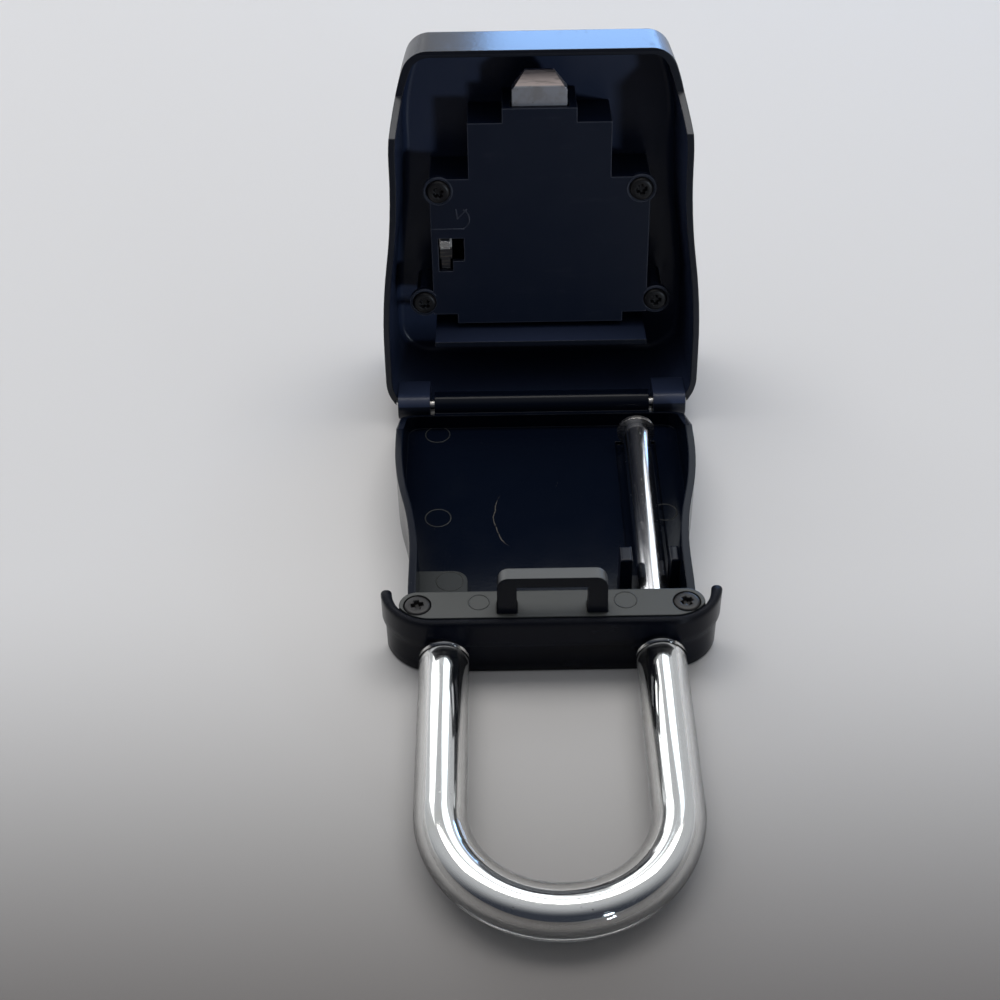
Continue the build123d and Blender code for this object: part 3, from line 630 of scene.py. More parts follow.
@dataclass(frozen=True)
class Steel(Finish):
    """Plain steel with drawn lines, stains and a few dark spots."""

    colour: Colour = (0.56, 0.54, 0.52)
    stain: Colour = (0.3, 0.24, 0.2)
    spot: Colour = (0.05, 0.04, 0.035)
    roughness: float = 0.34
    line_stretch: tuple[float, float, float] = (0.05, 1, 1)
    line_size: float = 0.3 * MM
    line_depth: float = 0.006 * MM
    edge_radius: float = 0.25 * MM
    stain_size: float = 3 * MM
    stain_band: Band = (0.42, 0.7)
    spot_size: float = 1.6 * MM
    spot_band: Band = (0.14, 0.06)
    stains: float = 0.4

    def dress(self, bench: Bench) -> bpy.types.Material:
        """Fills the bench's material and hands it back."""
        return bench.surface(self.look(bench))

    def look(self, bench: Bench) -> dict[int | str, object]:
        """The values and wires for the shader's sockets.

        Args:
            bench: The material's bench.

        Returns:
            The inputs of the surface shader.
        """
        drawn = bench.noise(self.line_size, 3, bench.stretched(self.line_stretch))
        cloud = bench.noise(self.stain_size, 4)
        spots = bench.cells(self.spot_size).above(*self.spot_band)
        colour = bench.mix(cloud.above(*self.stain_band) * self.stains, self.colour, self.stain)
        colour = bench.mix(spots * self.stains, colour, self.spot)
        return {
            "Base Color": colour,
            "Metallic": 1.0,
            "Roughness": self.roughness + 0.16 * (drawn - 0.5) + 0.1 * cloud,
            "Normal": bench.bump(drawn, self.line_depth, bench.soft_edge(self.edge_radius)),
        }


@dataclass(frozen=True)
class LidSteel(Steel):
    """Steel on the open lid with one stretch, measured from the hinge, of another colour."""

    lid: LidPlace = LidPlace()
    stretch: Band = (0.0, 1.0)
    stretch_fade: float = 0.1 * MM
    stretch_colour: Colour = (0.5, 0.5, 0.5)
    scratch_size: float = 0.5 * MM
    scratch_stretch: tuple[float, float, float] = (0.08, 1, 1)

    def look(self, bench: Bench) -> dict[int | str, object]:
        """The values and wires for the shader's sockets.

        Args:
            bench: The material's bench.

        Returns:
            The inputs of the surface shader.
        """
        inputs = super().look(bench)
        reach = self.lid.reach(bench)
        start, end = self.stretch
        fade = self.stretch_fade
        inside = reach.above(start - fade, start + fade) * reach.above(end + fade, end - fade)
        lines = bench.noise(self.scratch_size, 3, bench.stretched(self.scratch_stretch))
        other = bench.mix(lines.above(0.5, 0.66) * 0.5, self.stretch_colour, self.stain)
        # The stretch's colour: on the bolt it is a painted highlight.
        inputs["Base Color"] = bench.mix(inside * 0.92, inputs["Base Color"], other)
        return inputs


@dataclass(frozen=True)
class Chrome(Finish):
    """Bright chrome with pits and faint yellowing, a little duller inside the case."""

    colour: Colour = (0.86, 0.86, 0.87)
    pit: Colour = (0.06, 0.055, 0.05)
    yellowed: Colour = (0.78, 0.74, 0.58)
    yellowed_size: float = 9 * MM
    yellowed_band: Band = (0.6, 0.8)
    pit_size: float = 1.3 * MM
    pit_band: Band = (0.16, 0.06)
    pit_patch: float = 6 * MM
    pit_patch_band: Band = (0.52, 0.62)
    pit_depth: float = 0.02 * MM
    smear_size: float = 1.1 * MM
    smear_stretch: tuple[float, float, float] = (1, 0.18, 1)
    roughness: float = 0.07
    dull_from: float = -44 * MM
    dull_more: float = 0.1

    def dress(self, bench: Bench) -> bpy.types.Material:
        """Fills the bench's material and hands it back.

        Args:
            bench: The material's bench.

        Returns:
            The finished material.
        """
        yellowed = bench.noise(self.yellowed_size, 3).above(*self.yellowed_band)
        patches = bench.noise(self.pit_patch, 3).above(*self.pit_patch_band)
        pits = bench.cells(self.pit_size).above(*self.pit_band) * patches
        smear = bench.noise(self.smear_size, 4, bench.stretched(self.smear_stretch))
        _, y, _ = bench.axes()
        dull = y.above(self.dull_from, self.dull_from + 1 * MM)
        roughness = self.roughness + 0.3 * pits + 0.1 * smear.above(0.55, 0.8) + self.dull_more * dull
        colour = bench.mix(yellowed * 0.35, self.colour, self.yellowed)
        colour = bench.mix(pits * 0.85, colour, self.pit)
        return bench.surface({
            "Base Color": colour,
            "Metallic": 1.0,
            "Roughness": roughness,
            "Normal": bench.bump(1 - pits, self.pit_depth),
        })


@dataclass(frozen=True)
class ClearVinyl(Finish):
    """Clear soft tube over the shackle, with a faint yellow cast and fine scuffs."""

    colour: Colour = (0.985, 0.99, 0.975)
    yellowed: Colour = (0.93, 0.93, 0.82)
    yellowed_size: float = 12 * MM
    roughness: float = 0.03
    scuff_size: float = 1.4 * MM
    scuff_stretch: tuple[float, float, float] = (1, 0.2, 1)
    refraction: float = 1.48

    def dress(self, bench: Bench) -> bpy.types.Material:
        """Fills the bench's material and hands it back.

        Args:
            bench: The material's bench.

        Returns:
            The finished material.
        """
        scuff = bench.noise(self.scuff_size, 5, bench.stretched(self.scuff_stretch)).above(0.64, 0.78)
        yellowed = bench.noise(self.yellowed_size).above(0.62, 0.8)
        colour = bench.mix(yellowed * 0.4, self.colour, self.yellowed)
        return bench.surface({
            "Base Color": colour,
            "Roughness": self.roughness + 0.14 * scuff,
            "IOR": self.refraction,
            "Transmission Weight": 1.0,
        })


@dataclass(frozen=True)
class FigurePaint(Finish):
    """Off-white paint of the dials' figures."""

    colour: Colour = (0.72, 0.72, 0.68)
    worn_colour: Colour = (0.3, 0.3, 0.29)
    worn_size: float = 0.5 * MM
    worn_band: Band = (0.58, 0.72)

    def dress(self, bench: Bench) -> bpy.types.Material:
        """Fills the bench's material and hands it back.

        Args:
            bench: The material's bench.

        Returns:
            The finished material.
        """
        worn = bench.noise(self.worn_size, 4).above(*self.worn_band)
        return bench.surface({
            "Base Color": bench.mix(worn * 0.5, self.colour, self.worn_colour),
            "Roughness": 0.55 + 0.1 * worn,
        })


@dataclass(frozen=True)
class PaleFloor(Finish):
    """The plain pale floor, with a painted shade that darkens it towards the front."""

    colour: Colour = (0.67, 0.66, 0.655)
    cloud_colour: Colour = (0.7, 0.7, 0.7)
    # Colour of the painted shade at the front of the floor.
    front_colour: Colour = (0.125, 0.115, 0.11)
    dark_from: Band = (-0.01, -0.165)

    def dress(self, bench: Bench) -> bpy.types.Material:
        """Fills the bench's material and hands it back.

        Args:
            bench: The material's bench.

        Returns:
            The finished material.
        """
        _, y, _ = bench.axes()
        colour = bench.mix(bench.noise(0.2) * 0.12, self.colour, self.cloud_colour)
        return bench.surface({
            # Painted shade: the floor darkens towards the front.
            "Base Color": bench.mix(y.above(*self.dark_from), colour, self.front_colour),
            "Roughness": 0.85,
            "Specular IOR Level": 0.2,
        })


# Modelling by hand

class Modeller:
    """The few moves that shape every new piece."""

    def __init__(self) -> None:
        """Starts with nothing selected."""
        self.clear()

    @staticmethod
    def clear() -> None:
        """Deselects everything."""
        bpy.ops.object.select_all(action="DESELECT")

    def named(self, name: str) -> bpy.types.Object:
        """The object that was just added, with its name and the place in its mesh.

        Args:
            name: The object's name.

        Returns:
            The object.
        """
        made = bpy.context.object
        made.name = name
        made.data.name = name
        self.settle(made)
        return made

    def brick(
        self, name: str, at: Vector, size: tuple[float, float, float], turn: float
    ) -> bpy.types.Object:
        """A box about a place.

        Args:
            name: The box's name.
            at: Its middle.
            size: Its sides.
            turn: Its turn about Z.

        Returns:
            The box.
        """
        self.clear()
        bpy.ops.mesh.primitive_cube_add(size=1, location=at, rotation=(0, 0, turn))
        bpy.context.object.scale = size
        return self.named(name)

    def settle(self, piece: bpy.types.Object) -> None:
        """Moves a piece's place into its mesh."""
        self.only(piece)
        bpy.ops.object.transform_apply(location=True, rotation=True, scale=True)

    def only(self, piece: bpy.types.Object) -> None:
        """Selects one piece alone.

        Args:
            piece: The piece.
        """
        self.clear()
        piece.select_set(True)
        bpy.context.view_layer.objects.active = piece

    @contextmanager
    def editing(self, piece: bpy.types.Object, pick: Pick = Pick.FACES) -> Iterator[None]:
        """Edit mode on one piece, with nothing selected at the start.

        Args:
            piece: The piece to edit.
            pick: What selections are made of.

        Returns:
            A context in which the piece is edited.
        """
        self.only(piece)
        bpy.ops.object.mode_set(mode="EDIT")
        bpy.ops.mesh.select_mode(type=pick.value)
        bpy.ops.mesh.select_all(action="DESELECT")
        yield
        bpy.ops.object.mode_set(mode="OBJECT")

    @staticmethod
    def choose(piece: bpy.types.Object, pick: Pick, test: Callable[[Vector, Vector], bool]) -> None:
        """Selects only what passes a test, in edit mode.

        Args:
            piece: The piece in edit mode.
            pick: Faces or edges.
            test: Says yes or no from a face's middle and normal, or an edge's middle and run.
        """
        bpy.ops.mesh.select_all(action="DESELECT")
        mesh = bmesh.from_edit_mesh(piece.data)
        if pick is Pick.FACES:
            for face in mesh.faces:
                face.select = test(face.calc_center_median(), face.normal)
        else:
            for edge in mesh.edges:
                first, last = (point.co for point in edge.verts)
                edge.select = test((first + last) / 2, last - first)
        mesh.select_flush_mode()
        bmesh.update_edit_mesh(piece.data)

    def modify(self, piece: bpy.types.Object, kind: str, **settings: object) -> None:
        """Adds a modifier and applies it.

        Args:
            piece: The piece.
            kind: The modifier's type.
            settings: Its settings.
        """
        self.only(piece)
        modifier = piece.modifiers.new(kind.lower(), kind)
        for key, value in settings.items():
            setattr(modifier, key, value)
        bpy.ops.object.modifier_apply(modifier=modifier.name)

    def cut(self, piece: bpy.types.Object, tool: bpy.types.Object) -> None:
        """Cuts one piece with another, and removes the tool."""
        self.modify(piece, "BOOLEAN", operation="DIFFERENCE", object=tool, solver="EXACT")
        bpy.data.objects.remove(tool)

    def join(self, pieces: Sequence[bpy.types.Object], name: str) -> bpy.types.Object:
        """Joins pieces into the first, under a name.

        Args:
            pieces: The pieces.
            name: The name of what they make.

        Returns:
            The joined piece.
        """
        self.clear()
        for piece in pieces:
            piece.select_set(True)
        bpy.context.view_layer.objects.active = pieces[0]
        bpy.ops.object.join()
        pieces[0].name = name
        pieces[0].data.name = name
        return pieces[0]

    def tidy(self, piece: bpy.types.Object, smooth: float = 35) -> None:
        """Merges doubles, turns the faces outwards and smooths all but the sharp edges.

        Args:
            piece: The piece.
            smooth: The angle in degrees past which an edge stays sharp.
        """
        with self.editing(piece):
            bpy.ops.mesh.select_all(action="SELECT")
            bpy.ops.mesh.remove_doubles(threshold=0.002 * MM)
            bpy.ops.mesh.normals_make_consistent(inside=False)
        self.only(piece)
        bpy.ops.object.shade_smooth_by_angle(angle=radians(smooth))

    def copy(self, piece: bpy.types.Object, name: str) -> bpy.types.Object:
        """A copy of a piece with a mesh of its own.

        Args:
            piece: The piece.
            name: The copy's name.

        Returns:
            The copy.
        """
        made = piece.copy()
        made.data = piece.data.copy()
        made.name = name
        made.data.name = name
        bpy.context.scene.collection.objects.link(made)
        return made


def fit(piece: bpy.types.Object, body: str, material: bpy.types.Material) -> bpy.types.Object:
    """Dresses a new piece and lets it ride on its body.

    Args:
        piece: The finished piece.
        body: The body that carries it.
        material: Its material.

    Returns:
        The piece.
    """
    piece.data.materials.clear()
    piece.data.materials.append(material)
    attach(piece, body)
    LOG.info("piece %s rides on %s, %d faces", piece.name, body, len(piece.data.polygons))
    return piece


# Shackle

@dataclass
class Shackle:
    """The chrome bar and its clear sleeve, smooth all round."""

    shop: Modeller
    sides: int = 48
    bend_steps: int = 64
    short_leg_in_case: float = 8.9 * MM
    chamfer: float = 0.8 * MM
    groove_depth: float = 0.6 * MM
    bore_gap: float = 0.05 * MM
    sleeve_round: float = 0.9 * MM
    sleeve_steps: int = 4
    wall_step: float = 0.01 * MM
    radius: float = field(init=False)
    height: float = field(init=False)
    half_width: float = field(init=False)
    long_end: float = field(init=False)
    bend_y: float = field(init=False)
    case_front: float = field(init=False)

    def __post_init__(self) -> None:
        """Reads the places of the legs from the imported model."""
        low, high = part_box("shackle")
        self.radius = (high.z - low.z) / 2
        self.height = (high.z + low.z) / 2
        self.half_width = high.x - self.radius
        self.long_end = high.y
        self.bend_y = low.y + self.half_width + self.radius
        self.case_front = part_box("bumper_collar")[0].y

    def ring(self, name: str, radius: float, y: float, fill: str) -> bpy.types.Object:
        """A ring of points round the long leg at a Y.

        Args:
            name: Its name.
            radius: Its radius.
            y: Its Y.
            fill: How it is filled, in the operator's words.

        Returns:
            The ring.
        """
        self.shop.clear()
        bpy.ops.mesh.primitive_circle_add(
            vertices=self.sides, radius=radius, fill_type=fill,
            location=(self.half_width, y, self.height), rotation=(pi / 2, 0, 0),
        )
        return self.shop.named(name)

    @staticmethod
    def push(distance: float, scale: float = 1.0, centre: Vector | None = None) -> None:
        """Extrudes what is selected along Y, and may shrink its end about a centre.

        Args:
            distance: How far along Y.
            scale: How much the end is shrunk or grown.
            centre: What it is scaled about.
        """
        bpy.ops.mesh.extrude_region_move(TRANSFORM_OT_translate={"value": (0, distance, 0)})
        if scale != 1.0:
            bpy.ops.transform.resize(value=(scale, 1, scale), center_override=centre)

    def sweep(self) -> None:
        """Carries the selected end round the bend."""
        bpy.ops.mesh.spin(
            steps=self.bend_steps, angle=pi, center=(0, self.bend_y, self.height), axis=(0, 0, 1)
        )

    def bar(self, groove: tuple[float, float]) -> bpy.types.Object:
        """The chrome bar with chamfered ends and the ring's groove.

        Args:
            groove: The Y of the groove's two walls.

        Returns:
            The bar.
        """
        small = 1 - self.chamfer / self.radius
        core = 1 - self.groove_depth / self.radius
        centre = Vector((self.half_width, 0, self.height))
        bar = self.ring("shackle_bar", self.radius * small, self.long_end, "NGON")
        groove_low, groove_high = groove
        steps = [
            (-self.chamfer, 1 / small),
            (groove_high - self.long_end + self.chamfer, 1.0),
            (-self.wall_step, core),
            (groove_low - groove_high, 1.0),
            (-self.wall_step, 1 / core),
            (self.bend_y - groove_low + 2 * self.wall_step, 1.0),
        ]
        with self.shop.editing(bar, Pick.FACES):
            bpy.ops.mesh.select_all(action="SELECT")
            for distance, scale in steps:
                self.push(distance, scale, centre)
            self.sweep()
            centre = Vector((-self.half_width, 0, self.height))
            self.push(self.case_front + self.short_leg_in_case - self.chamfer - self.bend_y)
            self.push(self.chamfer, small, centre)
        self.shop.tidy(bar, 40)
        return bar

    def sleeve(self) -> bpy.types.Object:
        """The clear tube with rounded ends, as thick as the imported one.

        Returns:
            The sleeve.
        """
        low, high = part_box("shackle_sleeve")
        outer = (high.z - low.z) / 2
        wall = outer - self.radius - self.bore_gap
        tube = self.ring("vinyl_sleeve", outer, high.y, "NOTHING")
        with self.shop.editing(tube, Pick.EDGES):
            bpy.ops.mesh.select_all(action="SELECT")
            step = (self.bend_y - high.y) / self.sleeve_steps
            for _ in range(self.sleeve_steps):
                self.push_edges(step)
            self.sweep()
            for _ in range(self.sleeve_steps):
                self.push_edges(-step)
        self.shop.tidy(tube, 60)
        self.shop.modify(tube, "SOLIDIFY", thickness=wall, offset=-1, use_rim=True, use_even_offset=True)
        reach = outer - self.bore_gap
        with self.shop.editing(tube, Pick.EDGES):
            self.shop.choose(tube, Pick.EDGES, lambda at, run: self.on_outer_rim(at, run, high.y, reach))
            bpy.ops.mesh.bevel(offset=self.sleeve_round, segments=5, affect="EDGES")
        self.shop.tidy(tube, 60)
        return tube

    def on_outer_rim(self, at: Vector, run: Vector, end: float, reach: float) -> bool:
        """Whether an edge lies on the outer rim of one of the sleeve's ends."""
        off = hypot(abs(at.x) - self.half_width, at.z - self.height)
        return abs(at.y - end) < 0.01 * MM and abs(run.y) < 0.001 * MM and off > reach

    @staticmethod
    def push_edges(distance: float) -> None:
        """Extrudes the selected ring of edges along Y."""
        bpy.ops.mesh.extrude_edges_move(TRANSFORM_OT_translate={"value": (0, distance, 0)})

    def build(self, chrome: bpy.types.Material, vinyl: bpy.types.Material) -> None:
        """Makes and fits the bar and the sleeve.

        Args:
            chrome: The bar's material.
            vinyl: The sleeve's material.
        """
        ring_low, ring_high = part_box("retaining_ring")
        bar = self.bar((ring_low.y, ring_high.y))
        fit(bar, "shackle", chrome)
        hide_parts("shackle")
        sleeve = self.sleeve()
        fit(sleeve, "shackle", vinyl)
        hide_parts("shackle_sleeve")


# Screws

@dataclass
class CrossScrew:
    """A pan head screw with a cross recess and a turned rim."""

    shop: Modeller
    head_radius: float = 3.0 * MM
    head_height: float = 1.5 * MM
    shank_radius: float = 1.4 * MM
    shank_length: float = 9.0 * MM
    arm_half: float = 1.95 * MM
    arm_width: float = 0.82 * MM
    arm_taper: float = 0.5
    recess_depth: float = 1.1 * MM
    rim_share: float = 0.45
    sides: int = 48

    def head(self, name: str) -> bpy.types.Object:
        """The head and shank about the origin, with the head's top at Z 0.

        Args:
            name: The screw's name.

        Returns:
            The screw, without its recess.
        """
        self.shop.clear()
        bpy.ops.mesh.primitive_cylinder_add(
            vertices=self.sides, radius=self.head_radius, depth=self.head_height,
            location=(0, 0, -self.head_height / 2),
        )
        screw = self.shop.named(name)
        with self.shop.editing(screw):
            self.shop.choose(screw, Pick.FACES, lambda at, normal: normal.z < -0.9)
            bpy.ops.mesh.inset(thickness=self.head_radius - self.shank_radius)
            bpy.ops.mesh.extrude_region_move(TRANSFORM_OT_translate={"value": (0, 0, -self.shank_length)})
            bpy.ops.mesh.select_mode(type=Pick.EDGES.value)
            self.shop.choose(screw, Pick.EDGES, self.on_top_rim)
            bpy.ops.mesh.bevel(offset=self.rim_share * self.head_height, segments=4, affect="EDGES")
        return screw

    def on_top_rim(self, at: Vector, run: Vector) -> bool:
        """Whether an edge lies on the rim of the head's top."""
        return abs(at.z) < 0.01 * MM and hypot(at.x, at.y) > self.head_radius * 0.98

    def recess(self) -> bpy.types.Object:
        """The tool that cuts the cross: two tapered arms.

        Returns:
            The tool.
        """
        arms = []
        for index in range(2):
            size = (2 * self.arm_half, 2 * self.arm_width, 2 * self.recess_depth)
            arm = self.shop.brick(f"arm_{index}", Vector((0, 0, 0)), size, index * pi / 2)
            with self.shop.editing(arm):
                self.shop.choose(arm, Pick.FACES, lambda at, normal: normal.z < -0.9)
                taper = (self.arm_taper, self.arm_taper, 1)
                bpy.ops.transform.resize(value=taper, center_override=(0, 0, 0))
            arms.append(arm)
        self.shop.modify(arms[0], "BOOLEAN", operation="UNION", object=arms[1], solver="EXACT")
        bpy.data.objects.remove(arms[1])
        return arms[0]

    def build(self, name: str) -> bpy.types.Object:
        """One finished screw about the origin.

        Args:
            name: The screw's name.

        Returns:
            The screw.
        """
        screw = self.head(name)
        self.shop.cut(screw, self.recess())
        self.shop.tidy(screw, 32)
        return screw


@dataclass
class Screws:
    """The two retainer screws and the four cover screws, each group one piece."""

    shop: Modeller
    lid: LidPlace
    cover_places: tuple[tuple[float, float], ...] = (
        (-26.0 * MM, 55.4 * MM), (26.0 * MM, 55.4 * MM), (-30.7 * MM, 24.2 * MM), (30.7 * MM, 24.2 * MM),
    )
    cover_head_depth: float = 11.8 * MM
    retainer_turns: tuple[float, ...] = (radians(12), radians(28))
    cover_turns: tuple[float, ...] = (radians(35), radians(12), radians(50), radians(5))

    def spread(
        self, name: str, places: Sequence[Vector], turns: Sequence[float], facing: float
    ) -> bpy.types.Object:
        """Copies of one screw at their places, joined.

        Args:
            name: The name of the joined screws.
            places: The middle of each head's top.
            turns: How far each cross is turned.
            facing: The screws' turn about X: 0 where the heads look up.

        Returns:
            The joined screws.
        """
        model = CrossScrew(self.shop).build("cross_screw")
        made = []
        for place, turn in zip(places, turns):
            screw = self.shop.copy(model, f"{name}_{len(made)}")
            upright = Matrix.Rotation(facing, 4, "X") @ Matrix.Rotation(turn, 4, "Z")
            screw.data.transform(Matrix.Translation(place) @ upright)
            made.append(screw)
        bpy.data.objects.remove(model)
        return self.shop.join(made, name)

    def retainer(self) -> bpy.types.Object:
        """The screws of the retainer plate.

        Returns:
            The two screws as one piece.
        """
        low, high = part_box("retainer_screws")
        x = high.x - CrossScrew.head_radius
        places = [Vector((side * x, (low.y + high.y) / 2, high.z)) for side in (-1, 1)]
        return self.spread("retainer_cross_screws", places, self.retainer_turns, 0)

    def cover(self) -> bpy.types.Object:
        """The screws of the mechanism cover.

        Returns:
            The four screws as one piece.
        """
        places = [self.lid.closed(x, reach, self.cover_head_depth) for x, reach in self.cover_places]
        joined = self.spread("cover_cross_screws", places, self.cover_turns, pi)
        self.lid.open_piece(joined)
        return joined

    def build(self, black: bpy.types.Material) -> None:
        """Makes and fits all the screws.

        Args:
            black: Their material.
        """
        retainer = fit(self.retainer(), "case", black)
        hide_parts("retainer_screws")
        cover = fit(self.cover(), "lid", black)
        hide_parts("cover_screws")


# Raised and sunk marks of the mouldings

@dataclass
class Marks:
    """The thin rings that the ejector pins left, and the raised lines on the cover."""

    shop: Modeller
    lid: LidPlace
    line: float = 0.16 * MM
    proud: float = 0.09 * MM
    floor_z: float = 2.0 * MM
    pad_z: float = 4.2 * MM
    cover_depth: float = 12.8 * MM
    boss_radius: float = 3.6 * MM

    def circle(self, name: str, at: Vector, radius: float) -> bpy.types.Object:
        """A low ring on a flat that faces up.

        Args:
            name: The ring's name.
            at: Its middle.
            radius: Its radius.

        Returns:
            The ring.
        """
        self.shop.clear()
        bpy.ops.mesh.primitive_torus_add(
            location=at, major_radius=radius, minor_radius=self.line,
            major_segments=48, minor_segments=8,
        )
        ring = self.shop.named(name)
        with self.shop.editing(ring):
            bpy.ops.mesh.select_all(action="SELECT")
            bpy.ops.transform.resize(value=(1, 1, self.proud / self.line), center_override=at)
        return ring

    def bar(self, name: str, start: Vector, end: Vector, width: float) -> bpy.types.Object:
        """A low rounded bar between two places on a flat across Z.

        Args:
            name: The bar's name.
            start: One end.
            end: The other end.
            width: Its width.

        Returns:
            The bar.
        """
        run = end - start
        size = (run.length + width, width, 2 * self.proud)
        bar = self.shop.brick(name, (start + end) / 2, size, atan2(run.y, run.x))
        self.shop.modify(bar, "BEVEL", width=0.3 * self.proud, segments=2)
        return bar

    def arc(self, name: str, at: Vector, radius: float, span: tuple[float, float]) -> bpy.types.Object:
        """A low curved bar on a flat across Z.

        Args:
            name: The arc's name.
            at: The middle of its circle.
            radius: The circle's radius.
            span: Its first and last angle.

        Returns:
            The arc.
        """
        first, last = span
        start = at + Vector((radius * cos(first), radius * sin(first), 0))
        self.shop.clear()
        bpy.ops.mesh.primitive_plane_add(size=1, location=start, rotation=(pi / 2, 0, first))
        bpy.context.object.scale = (2 * self.line, 2 * self.proud, 1)
        arc = self.shop.named(name)
        with self.shop.editing(arc):
            bpy.ops.mesh.select_all(action="SELECT")
            bpy.ops.mesh.spin(steps=24, angle=first - last, center=at, axis=(0, 0, 1))
        self.shop.tidy(arc, 40)
        return arc

    def case_rings(self) -> bpy.types.Object:
        """The ejector rings on the tray's floor and pad and on the retainer plate.

        Returns:
            The rings as one piece.
        """
        plate_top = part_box("retainer_plate")[1].z
        places = [
            ((-26.9 * MM, 2.8 * MM, self.floor_z), 3.2 * MM),
            ((-27.7 * MM, 35.6 * MM, self.floor_z), 3.2 * MM),
            ((29.8 * MM, 3.7 * MM, self.floor_z), 3.0 * MM),
            ((-23.5 * MM, -21.9 * MM, self.pad_z), 3.2 * MM),
            ((16.4 * MM, -41.4 * MM, plate_top), 2.5 * MM),
            ((-16.3 * MM, -41.5 * MM, plate_top), 2.3 * MM),
        ]
        rings = [self.circle(f"ring_{n}", Vector(at), radius) for n, (at, radius) in enumerate(places)]
        joined = self.shop.join(rings, "ejector_rings")
        self.shop.tidy(joined, 50)
        return joined

    def cover_lines(self, screws: Screws) -> bpy.types.Object:
        """The raised line, the bent arrow and the rings round the screws, on the cover.

        Args:
            screws: The screws, for their places.

        Returns:
            The lines as one piece.
        """
        bars = {
            "line": ((-28.0 * MM, 45.1 * MM), (-19.7 * MM, 45.1 * MM)),
            "barb_0": ((-21.3 * MM, 47.9 * MM), (-18.9 * MM, 50.4 * MM)),
            "barb_1": ((-21.3 * MM, 47.9 * MM), (-21.6 * MM, 50.4 * MM)),
        }
        arcs = [((-21.1 * MM, 47.8 * MM), 2.9 * MM, (radians(-62), radians(62)))]
        for x, reach in screws.cover_places:
            upper = reach > 50 * MM
            span = (0, 2 * pi - 0.01) if upper else (radians(-150), radians(-30))
            arcs.append(((x, reach), self.boss_radius, span))
        lines = []
        for name, ends in bars.items():
            start, end = (self.lid.closed(*end, self.cover_depth) for end in ends)
            lines.append(self.bar(name, start, end, 2 * self.line))
        for middle, radius, span in arcs:
            at = self.lid.closed(*middle, self.cover_depth)
            lines.append(self.arc(f"arc_{len(lines)}", at, radius, span))
        joined = self.shop.join(lines, "cover_marks")
        self.lid.open_piece(joined)
        self.shop.tidy(joined, 40)
        return joined

    def build(self, paint: bpy.types.Material, plastic: bpy.types.Material, screws: Screws) -> None:
        """Makes and fits the marks."""
        fit(self.case_rings(), "case", paint)
        fit(self.cover_lines(screws), "lid", plastic)


# Dials

@dataclass
class DialFigures:
    """The ten figures round each dial: upright with the shackle up, and 0 in the window."""

    shop: Modeller
    lid: LidPlace
    figures: int = 10
    text_size: float = 4.278 * MM
    lift: float = 0.03 * MM

    def figure(self, number: int, radius: float, middle: Vector) -> bpy.types.Object:
        """One figure on a dial.

        Args:
            number: The figure.
            radius: The dial's radius.
            middle: The dial's middle.

        Returns:
            The figure, bent onto the dial.
        """
        self.shop.clear()
        bpy.ops.object.text_add(location=(0, 0, 0))
        text = bpy.context.object
        text.data.body = str(number)
        text.data.size = self.text_size
        text.data.align_x = "CENTER"
        text.data.align_y = "CENTER"
        text.data.resolution_u = 4
        bpy.ops.object.convert(target="MESH")
        made = bpy.context.object
        turn = self.lid.angle + 2 * pi * number / self.figures
        with self.shop.editing(made):
            bpy.ops.mesh.select_all(action="SELECT")
            bpy.ops.mesh.subdivide(number_cuts=1)
        for point in made.data.vertices:
            around = turn - point.co.y / radius
            reach = radius + self.lift
            point.co = middle + Vector((-point.co.x, reach * sin(around), reach * cos(around)))
        made.data.update()
        return made

    def build(self, paint: bpy.types.Material) -> None:
        """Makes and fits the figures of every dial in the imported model.

        Args:
            paint: The figures' material.
        """
        dials = sorted(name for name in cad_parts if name.startswith("dial_") and name[5:].isdigit())
        low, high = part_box(dials[0])
        middle = (low + high) / 2
        radius = (high.z - low.z) / 2
        made = [self.figure(number, radius, middle) for number in range(self.figures)]
        sets = [self.shop.join(made, dials[0].replace("dial", "figures"))]
        sets += [self.shop.copy(sets[0], name.replace("dial", "figures")) for name in dials[1:]]
        for name, figures in zip(dials, sets):
            low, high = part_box(name)
            figures.data.transform(Matrix.Translation((low + high) / 2 - middle))
            fit(figures, name, paint)


# Stage

@dataclass(frozen=True)
class Lamp:
    """A soft rectangular lamp aimed at the safe, its power in watts."""

    name: str
    at: tuple[float, float, float]
    size: tuple[float, float]
    power: float
    colour: Colour
    aim: tuple[float, float, float] = (0, 0.01, 0.03)

    def hang(self) -> None:
        """Puts the lamp in the scene."""
        data = bpy.data.lights.new(self.name, "AREA")
        data.shape = "RECTANGLE"
        data.size, data.size_y = self.size
        data.energy = self.power
        data.color = self.colour
        lamp = bpy.data.objects.new(self.name, data)
        lamp.location = self.at
        run = Vector(self.aim) - Vector(self.at)
        lamp.rotation_euler = run.to_track_quat("-Z", "Y").to_euler()
        bpy.context.scene.collection.objects.link(lamp)


